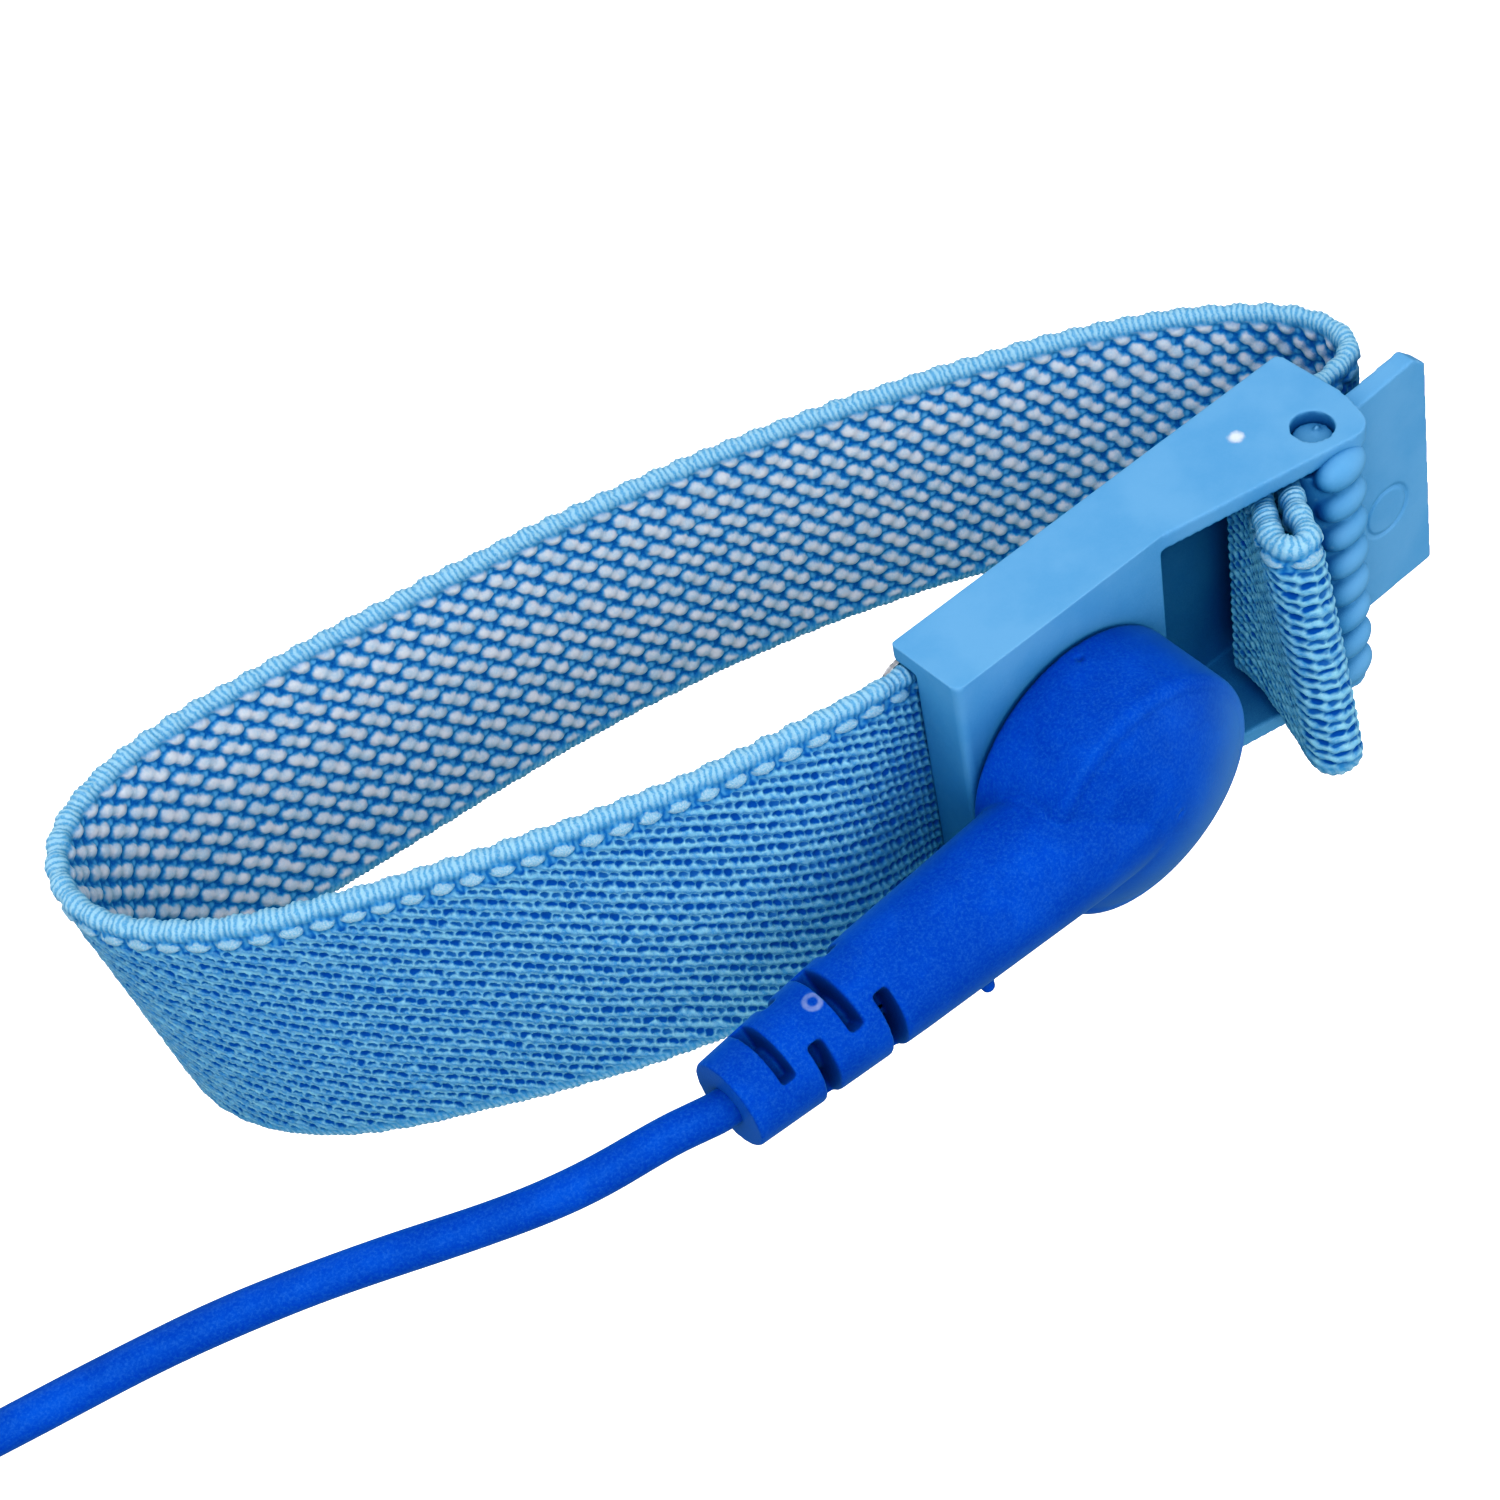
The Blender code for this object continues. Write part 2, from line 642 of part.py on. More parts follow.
# ---- cord ---------------------------------------------------------------------------------------
def cord_lead(look, axis):
    """The straight end of the cord, from the neck's chamber to the coil."""
    start = Vector(COIL_START)
    points = (
        (CHAMBER_END_X - GAP, NECK_Y, 0),
        (-28.0, NECK_Y, 0),
        (-31.0, NECK_Y, 0),
        (-33.2, NECK_Y, 0),
        (-35.5, NECK_Y + 0.6, 0),
        (-41.0, -9.9, -0.6),
        (-52.2, -4.7, -1.9),
        (-63.4, 0.6, -3.3),
        (-75.4, 4.2, -4.3),
        (-84.5, 8.0, -5.0),
        (-89.6, 14.0, -5.0),
        tuple(start - ALONG * 4.0),
        tuple(start - ALONG * 1.5),
        tuple(start),
    )
    return wire("cord_lead", spline(points, 64), CORD, look, axis)


def coil_points():
    """The coiled length: it starts and ends on the axis and swells to full radius in under a turn."""
    steps, ramp = 12, 0.8
    points = []
    for k in range(COIL_TURNS * steps + 1):
        turns = k / steps
        edge = min(1, min(turns, COIL_TURNS - turns) / ramp)
        radius = COIL_RADIUS * edge * edge * (3 - 2 * edge)
        angle = 2 * math.pi * turns
        out = BESIDE * math.cos(angle) + Vector((0, 0, 1)) * math.sin(angle)
        points.append(Vector(COIL_START) + ALONG * (0.8 + turns * COIL_PITCH) + out * radius)
    return points


def cord_coil(look, axis):
    return wire("cord_coil", coil_points(), CORD, look, axis, resolution=1)


def ground_start():
    """Where the cord's return run enters the ground plug."""
    return Vector(COIL_START) + ALONG * (COIL_TURNS * COIL_PITCH + 3.0) + BESIDE * GROUND_OFFSET


def cord_ground_lead(look, axis):
    """The short lead that turns back from the coil to the ground plug."""
    start = Vector(COIL_START) + ALONG * (COIL_TURNS * COIL_PITCH + 1.6)
    radius = GROUND_OFFSET / 2
    middle = start + ALONG * 2.2 + BESIDE * radius
    points = [start, start + ALONG * 1.1]
    steps = 14
    for k in range(steps + 1):
        angle = math.pi * k / steps
        points.append(middle + (ALONG * math.sin(angle) - BESIDE * math.cos(angle)) * radius)
    points.append(ground_start() - ALONG * CORD_IN_PLUG)
    return wire("cord_ground_lead", points, CORD, look, axis)


# ---- ground end ---------------------------------------------------------------------------------
def ground_plug_body(look, axis):
    """The moulded banana-plug sleeve, ribbed for grip, with the cord's bore at its back."""
    ribs = []
    for k in range(4):
        at = -PLUG_LENGTH / 2 + 4.0 + 2.4 * k
        ribs = [(4.6, at + 1.5), (4.6, at + 0.6), (5.0, at + 0.6), (5.0, at)] + ribs
    profile = (
        [(2.15, PLUG_LENGTH / 2), (2.6, PLUG_LENGTH / 2), (3.1, 6.5), (4.0, 4.0), (4.6, 2.0)]
        + ribs
        + [(4.6, -PLUG_LENGTH / 2 + 1.5), (4.2, -PLUG_LENGTH / 2), (1.85, -PLUG_LENGTH / 2)]
        + [(1.85, -1.2), (CORD + 0.1, -1.2), (CORD + 0.1, PLUG_LENGTH / 2 - 0.5)]
    )
    middle = ground_start() - ALONG * PLUG_LENGTH / 2
    return turned("ground_plug_body", profile, middle, ALONG, look, axis, closed=True)


def banana_pin(look, axis):
    """The turned 4 mm pin, with the hollow at its back where the core is soldered."""
    back = PLUG_LENGTH - 12.0
    front = PLUG_LENGTH + PIN_LENGTH
    profile = (
        (0.5, -back),
        (1.75, -back),
        (1.75, -PLUG_LENGTH + 0.2),
        (1.75, -PLUG_LENGTH - 0.6),
        (1.2, -PLUG_LENGTH - 0.9),
        (1.2, -front + 1.8),
        (1.7, -front + 1.6),
        (1.6, -front + 0.6),
        (0.9, -front),
        (0, -front),
        (0, -back - 3.0),
        (0.5, -back - 3.0),
    )
    return turned("banana_pin", profile, ground_start(), ALONG, look, axis, closed=True, facets=20)


def banana_spring(look, axis):
    """The bulged contact cage round the pin."""
    back, front = -PLUG_LENGTH - 1.2, -PLUG_LENGTH - PIN_LENGTH + 2.1
    middle, half, wall = (back + front) / 2, (back - front) / 2, 0.2
    outer, inner = [], []
    steps = 6
    for k in range(steps + 1):
        along = 1 - 2 * k / steps
        radius = 1.5 + 0.5 * (1 - along * along)
        outer.append((radius, middle + along * half))
        inner.insert(0, (radius - wall, middle + along * half))
    cage = outer + inner
    return turned("banana_spring", cage, ground_start(), ALONG, look, axis, closed=True, facets=20)


def clip_frame():
    """Where the clip sits: its tail end on the ground plug's axis, x towards its nose, z up."""
    tail = ground_start() - ALONG * (PLUG_LENGTH + 1.0)
    turn = Matrix((-ALONG, -BESIDE, Vector((0, 0, 1)))).transposed().to_4x4()
    return Matrix.Translation(tail) @ turn


def jaw(name, web, rest, look, axis, half_width, way):
    """One folded-sheet jaw: its side outline given a width, then hollowed to a channel under its web."""
    here = clip_frame()
    stand = here @ Matrix.Rotation(math.radians(90), 4, "X")
    blank = slab(name, [(x, way * z) for x, z in web + rest], -half_width, half_width)
    bmesh.ops.transform(blank, matrix=stand, verts=blank.verts)
    made = solid(name, blank, look, here @ Vector((CLIP_PIVOT, 0, 0)), axis)
    inside = [(min(x, CLIP_LENGTH - CLIP_SHEET), way * (z - CLIP_SHEET)) for x, z in web]
    open_side = -way * (CLIP_HALF + PAST)
    inside = [(inside[0][0], open_side)] + inside + [(-PAST, inside[-1][1]), (-PAST, open_side)]
    channel = slab(name, inside, CLIP_SHEET - half_width, half_width - CLIP_SHEET)
    bmesh.ops.transform(channel, matrix=stand, verts=channel.verts)
    cut(made, helper(name + "_channel", channel))
    eye = [here @ Vector((CLIP_PIVOT, y, 0)) for y in (-half_width - PAST, half_width + PAST)]
    cut(made, cylinder(name + "_eye", *eye, PIVOT_EYE, facets=20))
    return made


def jaw_teeth():
    """Saw teeth along a jaw's gripping edge, from the hinge to the nose."""
    start, count, gap, depth = CLIP_PIVOT + 4.5, 9, 0.12, 0.3
    pitch = (CLIP_LENGTH - start) / count
    points = []
    for k in range(count):
        points += [(start + k * pitch, gap), (start + (k + 0.5) * pitch, gap + depth)]
    return points + [(CLIP_LENGTH, gap)]


def clip_jaws(look, tail_axis, jaw_axis):
    """The crocodile clip's two jaws. Both outlines are drawn with the gripping edge at z = 0."""
    ears = [(CLIP_PIVOT - 1.6, -1.4), (CLIP_PIVOT + 1.6, -1.4)]
    grip = ears + jaw_teeth()
    lower_web = [(CLIP_LENGTH, 1.8), (CLIP_PIVOT + 4, 3.2), (0, 3.2)]
    trough = [(0, 1.6), (CLIP_PIVOT - 4.5, 1.6)]
    jaw("clip_lower_jaw", lower_web, trough + grip, look, tail_axis, CLIP_HALF, -1)
    upper_web = [(CLIP_LENGTH, 1.8), (CLIP_PIVOT + 4, 3.9), (CLIP_PIVOT - 3, 5.4), (4.5, 9.5), (2.7, 9.8)]
    handle = [(2.7, 9.0), (4.3, 8.7), (CLIP_PIVOT - 3.7, 4.4)]
    jaw("clip_upper_jaw", upper_web, handle + grip, look, jaw_axis, CLIP_HALF - CLIP_SHEET - 0.15, 1)


def clip_pivot_pin(look, axis):
    """The rivet through both jaws, with a formed head at each end."""
    here = clip_frame()
    reach = CLIP_HALF + 0.05
    ends = [here @ Vector((CLIP_PIVOT, way * (reach + 0.45), 0)) for way in (-1, 1)]
    bm = bmesh.new()
    add_cylinder(bm, *ends, PIVOT_EYE - 0.1, facets=20)
    pin = solid("clip_pivot_pin", bm, look, here @ Vector((CLIP_PIVOT, 0, 0)), axis)
    for way in (-1, 1):
        near, far = (here @ Vector((CLIP_PIVOT, way * y, 0)) for y in (reach, reach + 0.5))
        join(pin, cylinder(f"rivet_head_{way + 1}", near, far, 1.3, 1.0, 20))
    return pin


def clip_spring(look, axis):
    """The torsion spring on the hinge pin, with a leg under each jaw's tail."""
    here = clip_frame()
    radius, turns, steps, side, pitch = 1.5, 3, 12, 1.2, 0.8
    points = [(-7.0, -side, -2.2), (-2.5, -side, -1.9)]
    for k in range(turns * steps + 1):
        angle = math.radians(255) + 2 * math.pi * k / steps
        points.append((radius * math.cos(angle), pitch * k / steps - side, radius * math.sin(angle)))
    points += [(-2.6, side, 2.6), (-7.0, side, 4.2)]
    bent = [here @ Vector((CLIP_PIVOT + x, y, z)) for x, y, z in points]
    return wire("clip_spring", bent, 0.3, look, axis, resolution=1)


def clip_sleeve(look, axis):
    """The rolled sleeve at the clip's tail that holds the banana pin."""
    length, wall, bore = 9.5, 0.4, 2.1
    ring = ((bore + wall, length / 2), (bore + wall, -length / 2), (bore, -length / 2), (bore, length / 2))
    middle = clip_frame() @ Vector((length / 2, 0, 0))
    return turned("clip_sleeve", ring, middle, ALONG, look, axis, closed=True, facets=24)


def main():
    sky = finish("sky_blue_plastic", (0.14, 0.41, 0.79), 0.5)
    knit = finish("blue_elastic_knit", (0.2, 0.52, 0.85), 0.9)
    royal = finish("royal_blue_pvc", (0.0, 0.06, 0.62), 0.4)
    steel = finish("stainless_steel", (0.62, 0.62, 0.63), 0.3, 1.0)
    nickel = finish("nickel_plate", (0.66, 0.63, 0.58), 0.25, 1.0)
    spring = finish("spring_steel", (0.5, 0.5, 0.5), 0.35, 1.0)
    tin = finish("tinned_copper", (0.72, 0.71, 0.69), 0.35, 1.0)
    lacquer = finish("resistor_lacquer", (0.1, 0.32, 0.5), 0.35)
    copper = finish("copper_core", (0.75, 0.33, 0.16), 0.4, 1.0)

    lever_axis = joint_axis("lever_axis", (*PIVOT, 0))
    snap_axis = joint_axis("snap_axis", (0, CAP_BASE, 0))
    stretch_axis = joint_axis("stretch_axis", COIL_START)
    clip_axis = joint_axis("clip_axis", clip_frame() @ Vector((CLIP_PIVOT, 0, 0)))

    buckle_frame(sky)
    clamp_lever(sky, lever_axis)
    contact_plate(steel)
    stud_post(nickel)
    snap_stud(nickel)
    band_loop(knit)
    band_tail(knit)

    plug_cap(royal, snap_axis)
    snap_socket(nickel, snap_axis)
    socket_spring(spring, snap_axis)
    socket_terminal(tin, snap_axis)
    resistor(lacquer, tin, snap_axis)
    lead_crimp(tin, snap_axis)
    core_ends = ((CORE_X, NECK_Y, 0), (CHAMBER_END_X, NECK_Y, 0))
    stripped_core("cord_core_snap_end", *core_ends, copper, snap_axis)

    cord_lead(royal, snap_axis)
    cord_coil(royal, snap_axis)
    cord_ground_lead(royal, stretch_axis)
    ground_plug_body(royal, stretch_axis)
    banana_pin(nickel, stretch_axis)
    banana_spring(spring, stretch_axis)
    core_from = ground_start() - ALONG * (CORD_IN_PLUG + 0.2)
    stripped_core("cord_core_ground_end", core_from, core_from - ALONG * 10.0, copper, stretch_axis)
    clip_jaws(nickel, clip_axis, clip_axis)
    clip_sleeve(nickel, clip_axis)
    clip_pivot_pin(steel, clip_axis)
    clip_spring(spring, clip_axis)
    for obj in PARTS.objects:
        if obj.type == "MESH":
            smooth(obj)


clear_scene()
PARTS = collection("esd_wrist_strap")
TOOLS = collection("cutters")
main()
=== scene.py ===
"""Looks for the ESD wrist strap: a knitted elastic band, a moulded cam buckle and a snap plug on a cord.

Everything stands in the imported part's frame. Lengths are in millimetres unless a name says otherwise,
and MM turns them into metres.
"""

import math

import bmesh
import bpy
import numpy as np
from mathutils import Matrix, Vector
from mathutils.bvhtree import BVHTree


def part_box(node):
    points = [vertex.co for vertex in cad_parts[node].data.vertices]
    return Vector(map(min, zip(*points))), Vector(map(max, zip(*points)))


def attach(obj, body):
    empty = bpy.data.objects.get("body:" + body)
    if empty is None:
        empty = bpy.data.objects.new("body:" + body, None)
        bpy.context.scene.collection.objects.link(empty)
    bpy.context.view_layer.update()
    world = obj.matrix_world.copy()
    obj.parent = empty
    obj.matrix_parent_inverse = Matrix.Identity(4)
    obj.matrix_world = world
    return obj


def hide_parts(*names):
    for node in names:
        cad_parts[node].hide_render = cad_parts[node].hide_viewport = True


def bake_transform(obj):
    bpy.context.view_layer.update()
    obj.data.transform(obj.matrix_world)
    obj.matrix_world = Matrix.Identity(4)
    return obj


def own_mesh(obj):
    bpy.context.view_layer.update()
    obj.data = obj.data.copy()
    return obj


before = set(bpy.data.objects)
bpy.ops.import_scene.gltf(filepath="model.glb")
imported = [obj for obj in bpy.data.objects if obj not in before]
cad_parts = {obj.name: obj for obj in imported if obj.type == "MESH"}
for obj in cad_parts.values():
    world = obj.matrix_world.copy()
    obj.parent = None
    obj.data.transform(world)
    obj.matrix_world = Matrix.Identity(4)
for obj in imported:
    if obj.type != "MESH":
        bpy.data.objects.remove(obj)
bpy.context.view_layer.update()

MM = 0.001
X, Y, Z = Vector((1, 0, 0)), Vector((0, 1, 0)), Vector((0, 0, 1))

# ---- camera, light and floor ---------------------------------------------------------------------
CAMERA_AT = (-79.66, -102.89, 143.04)
CAMERA_TURN = (41.243, 8.727, -40.362)  # degrees
CAMERA_LENS = 72
FLOOR_Z = -260.0
SKY_LOW, SKY_HIGH = 0.1, 0.9  # strength of the soft light from behind and from SKY_TOWARDS
SKY_TOWARDS = (0.0, -0.6, 0.8)
# The picture's red channel is curved down in the shadows. It changes the picture, not the materials.
RED_CURVE = ((0.015, 0.003), (0.05, 0.023), (0.13, 0.105), (0.4, 0.42))
SKY_TINT = (0.86, 0.94, 1.0, 1.0)
WHITE_PAPER = ((250, 250, 250), (253, 253, 253))
PAPER_AS_A_SURFACE = (120, 124, 130)  # what the floor reflects onto the object
AIM = (-0.02, 0, 0)  # metres: where the lights point
# Each lamp: name, place and target in metres, size in metres, watts.
LAMPS = (
    ("key", (-0.3, -0.35, 0.75), AIM, 0.5, 3.2),
    ("low", (0.5, -0.7, -0.1), AIM, 0.7, 1.6),
    ("left", (-0.45, -0.5, 0.3), (-0.12, 0.03, 0), 0.4, 1.0),
    ("rim", (-0.2, 0.75, 0.45), AIM, 0.6, 1.6),
)

# Main, light and dark tone of each plastic.
SKY_BLUES = ((104, 168, 222), (120, 180, 228), (90, 156, 214))
ROYAL_BLUES = ((0, 64, 196), (96, 144, 222), (0, 52, 178))
EDGE_HIGHLIGHT = (150, 200, 236)  # painted highlight along the moulded plastic's edges
GATE_SPECK = (17.9, -4.4, 11.9)  # where the buckle's pale gate mark is
SCUFF = (-25.9, -12.2, 3.3)  # the middle of a pale ring-shaped scuff on the plug's neck

CORD = 1.25  # radius of the cord's jacket
SHARP = 1.2  # radians between faces, at the rim of a wire's cut end
RING_REACH = 0.5  # points of one ring of a wire give middles closer together than this
COIL_TURNS, COIL_STEPS = 15, 24  # turns, and points in each
COIL_RAMP = 0.8  # turns in which the coil swells to its full radius
COIL_MARGIN = 0.018  # share of the coil's run that is straight at each end

# ---- knit ----------------------------------------------------------------------------------------
RIB = 0.40  # pitch of the fine ribs round the band's borders
STRIP_THICK = 1.3
FACE_STEP = 0.17  # spacing of the points across the strip
ARC_STEPS = 11  # points round each of the strip's edges
FOLD_STEPS = 24  # segments round the folded end's turn
STRIP_OUTWARDS = 0.2  # the knit stands this far outside the middle of the CAD strip
BAND_MIDDLE = 0.9  # z of the band's middle line
BAND_HALF = 9.5  # half the band's width
CELL = (1.82, 1.77)  # one repeat of the stitches, along and down the band
SLOPE = 0.4945  # the outer strands climb this much for each step along the band
STRAND = 0.885  # spacing of the outer strands, down the band
STRAND_FROM = 0.32
PLY = 0.607  # spacing of the twists in a strand
PICOT_ROW = 8.15  # distance of the looped row from the band's middle
PICOT = (0.76, 0.42)  # half length and half height of one loop of that row
PICOT_POWER = 1.6  # 2 is an ellipse, 1 a diamond
RIM_FROM = 8.62  # distance from the band's middle where the ribbed border starts, outside and inside
RIM_FROM_INSIDE = 8.6

# Stitches of one repeat: along, down, half length, half height, tilt in degrees, strength.
DARK_STITCHES = (
    (0.08, 1.17, 0.31, 0.24, 30, 1.0),
    (0.62, 0.87, 0.33, 0.21, 32, 1.0),
    (1.28, 0.55, 0.36, 0.20, 16, 1.0),
    (1.30, 1.50, 0.30, 0.17, 25, 0.9),
    (0.69, 0.02, 0.30, 0.17, 25, 0.86),
    (0.10, 0.27, 0.28, 0.18, 20, 0.92),
)
PALE_STITCHES = (
    (0.66, 1.52, 0.64, 0.50, -35, 1.0),
    (1.47, 0.47, 0.64, 0.50, -35, 1.0),
    (1.08, 1.90, 0.42, 0.40, -40, 0.85),
)
BLUE_STITCHES = ((0.45, 0.58, 0.24, 0.26, 0, 1.0), (1.32, 1.28, 0.16, 0.24, 20, 0.7))


# ---- material graphs -----------------------------------------------------------------------------
def linear(red, green, blue):
    """A colour given as 0 to 255 display values."""
    values = []
    for channel in (red, green, blue):
        c = channel / 255
        values.append(c / 12.92 if c <= 0.04045 else ((c + 0.055) / 1.055) ** 2.4)
    return (*values, 1.0)


class Graph:
    """A material's node tree, built from outputs that feed the next call."""

    def __init__(self, name):
        self.material = bpy.data.materials.new(name)
        self.material.use_nodes = True
        self.tree = self.material.node_tree
        self.shader = self.tree.nodes["Principled BSDF"]

    def node(self, kind, inputs, output=0, **settings):
        made = self.tree.nodes.new("ShaderNode" + kind)
        for key, value in settings.items():
            setattr(made, key, value)
        for key, value in inputs.items():
            self.feed(made.inputs[key], value)
        return made.outputs[output]

    def feed(self, socket, value):
        if isinstance(value, bpy.types.NodeSocket):
            self.tree.links.new(value, socket)
        else:
            socket.default_value = value

    def math(self, operation, a, b=0.0, c=0.0):
        return self.node("Math", {0: a, 1: b, 2: c}, operation=operation)

    def vector(self, operation, a, b=(0, 0, 0), c=(0, 0, 0), output=0):
        return self.node("VectorMath", {0: a, 1: b, 2: c}, output, operation=operation)

    def place(self, scale=(1, 1, 1)):
        """Millimetres in the part's frame, stretched by scale."""
        at = self.node("TexCoord", {}, "Object")
        return self.vector("MULTIPLY", at, tuple(s / MM for s in scale))

    def noise(self, at, scale, detail=3.0, rough=0.55):
        return self.node("TexNoise", {"Vector": at, "Scale": scale, "Detail": detail, "Roughness": rough})

    def ramp(self, value, low, high, start=0.0, end=1.0):
        inputs = {"Value": value, "From Min": low, "From Max": high, "To Min": start, "To Max": end}
        return self.node("MapRange", inputs, interpolation_type="SMOOTHSTEP")

    def mix(self, share, first, second, blend="MIX"):
        made = self.tree.nodes.new("ShaderNodeMix")
        made.data_type = "RGBA"
        made.blend_type = blend
        for key, value in ((0, share), (6, first), (7, second)):
            self.feed(made.inputs[key], value)
        return made.outputs[2]

    def painted_crevice_shade(self, base, reach, share, shade_colour):
        """Painted shade, like ambient occlusion: the colour turns dark and saturated where surfaces within
        reach millimetres close it in.
        """
        open_sky = self.node("AmbientOcclusion", {"Distance": reach * MM}, "AO", samples=4)
        return self.mix(self.ramp(open_sky, 0.2, 0.95, share, 0.0), base, linear(*shade_colour))

    def bump(self, height, strength, distance):
        inputs = {"Height": height, "Strength": strength, "Distance": distance * MM}
        return self.node("Bump", inputs)

    def finish(self, **inputs):
        for key, value in inputs.items():
            self.feed(self.shader.inputs[key.replace("_", " ")], value)
        return self.material


def moulded_plastic(name, colour, light, dark, roughness, speck):
    """Injection-moulded plastic: a fine spark-eroded grain, slow tone drift, edges paler from a painted
    highlight, and painted shade where it is closed in.
    """
    g = Graph(name)
    at = g.place()
    slow = g.noise(at, 0.16, 3.0)
    fine = g.noise(at, 4.0, 4.0, 0.7)
    toned = g.mix(g.ramp(slow, 0.35, 0.65), linear(*dark), linear(*light))
    base = g.mix(0.6, toned, linear(*colour))
    base = g.mix(g.ramp(fine, 0.3, 0.8, 0.0, 0.16), base, linear(*light))
    # Painted highlight: convex edges are mixed towards a pale tone.
    edge = g.ramp(g.node("NewGeometry", {}, "Pointiness"), 0.52, 0.62)
    base = g.mix(g.math("MULTIPLY", edge, 0.45), base, linear(*EDGE_HIGHLIGHT))
    far = g.vector("DISTANCE", at, speck, output="Value")
    far = g.math("MULTIPLY_ADD", g.noise(at, 1.6), 0.5, far)
    base = g.mix(g.ramp(far, 0.45, 0.9, 0.95, 0.0), base, linear(236, 244, 250))
    # Painted shade in recesses, creases and next to other parts.
    base = g.painted_crevice_shade(base, 9.0, 0.9, (0, 34, 122))
    worn = g.ramp(g.noise(at, 0.9, 5.0, 0.65), 0.52, 0.7)
    rough = g.math("MULTIPLY_ADD", worn, -0.08, roughness)
    normal = g.bump(g.math("MULTIPLY_ADD", fine, 0.8, slow), 0.6, 0.03)
    return g.finish(
        Base_Color=base,
        Roughness=rough,
        Normal=normal,
        Specular_IOR_Level=0.3,
        Specular_Tint=(0.35, 0.7, 1.0, 1.0),
    )


def soft_pvc(name, colour, light, dark, scuff):
    """Satin plasticised PVC: a cloudy tone, a fine matt grain, a painted reflection that pales it at a
    glancing view, a painted sheen on the cap's dome and painted shade where it is closed in.
    """
    g = Graph(name)
    at = g.place()
    cloud = g.noise(at, 0.22, 4.0, 0.6)
    fine = g.noise(at, 5.0, 4.0, 0.7)
    # Painted reflection: faces seen at a glancing angle are mixed towards the light tone.
    painted_glancing_reflection = g.ramp(g.node("LayerWeight", {"Blend": 0.35}, "Facing"), 0.3, 1.0)
    base = g.mix(g.ramp(cloud, 0.35, 0.7), linear(*dark), linear(*colour))
    base = g.mix(g.math("MULTIPLY", painted_glancing_reflection, 0.5), base, linear(*light))
    base = g.mix(g.ramp(fine, 0.35, 0.8, 0.0, 0.22), base, linear(*light))
    far = g.vector("DISTANCE", at, scuff, output="Value")
    ring = g.ramp(g.math("ABSOLUTE", g.math("SUBTRACT", far, 0.5)), 0.05, 0.25, 0.5, 0.0)
    base = g.mix(g.math("MULTIPLY", ring, g.noise(at, 1.8)), base, linear(214, 226, 246))
    # Painted sheen: the cap's domed face is paler towards its lower right, as light from below and to the
    # right would make it.
    lean = g.vector("DOT_PRODUCT", at, (0.75, 0, -0.66), output="Value")
    crown = g.ramp(g.node("SeparateXYZ", {"Vector": at}, 1), -14.4, -12.6, 1.0, 0.0)
    painted_sheen = g.math("MULTIPLY", g.ramp(lean, -2.0, 9.0), crown)
    base = g.mix(g.math("MULTIPLY", painted_sheen, 0.85), base, linear(*light))
    # Painted shade in the slots, creases and next to other parts.
    base = g.painted_crevice_shade(base, 4.0, 0.8, (0, 6, 84))
    rough = g.math("MULTIPLY_ADD", fine, 0.2, 0.34)
    return g.finish(
        Base_Color=base,
        Roughness=rough,
        Normal=g.bump(fine, 0.5, 0.035),
        Specular_IOR_Level=0.4,
        Specular_Tint=(0.10, 0.38, 1.0, 1.0),
        Subsurface_Weight=0.06,
        Subsurface_Radius=(0.0004, 0.0008, 0.002),
    )


def metal(name, colour, roughness, stretch=(1, 1, 1), tarnish=(120, 112, 100), amount=0.25):
    """Plated or drawn metal: lay lines along the working direction, dull patches and fine scratches."""
    g = Graph(name)
    lay = g.noise(g.place(stretch), 3.0, 5.0, 0.7)
    patch = g.noise(g.place(), 0.45, 4.0, 0.6)
    drawn = {"Vector": g.place((1, 0.08, 1)), "Scale": 1.6}
    scratch = g.node("TexVoronoi", drawn, feature="DISTANCE_TO_EDGE")
    line = g.ramp(scratch, 0.0, 0.03, 1.0, 0.0)
    dulled = g.math("MULTIPLY", g.ramp(patch, 0.5, 0.72), amount)
    base = g.mix(dulled, linear(*colour), linear(*tarnish))
    rough = g.math("MULTIPLY_ADD", lay, 0.25, roughness - 0.1)
    rough = g.math("MULTIPLY_ADD", dulled, 0.5, rough)
    height = g.math("MULTIPLY_ADD", line, -0.6, lay)
    return g.finish(Base_Color=base, Metallic=1.0, Roughness=rough, Normal=g.bump(height, 0.25, 0.02))


def stranded_copper(name):
    """Fine copper strands laid in a slow twist."""
    g = Graph(name)
    wave = g.node(
        "TexWave",
        {"Vector": g.place((0.5, 1, 1)), "Scale": 1.4, "Distortion": 1.5, "Detail": 2.0},
        "Fac",
        bands_direction="DIAGONAL",
    )
    base = g.mix(wave, linear(120, 60, 30), linear(232, 150, 96))
    return g.finish(Base_Color=base, Metallic=1.0, Roughness=0.32, Normal=g.bump(wave, 0.8, 0.08))


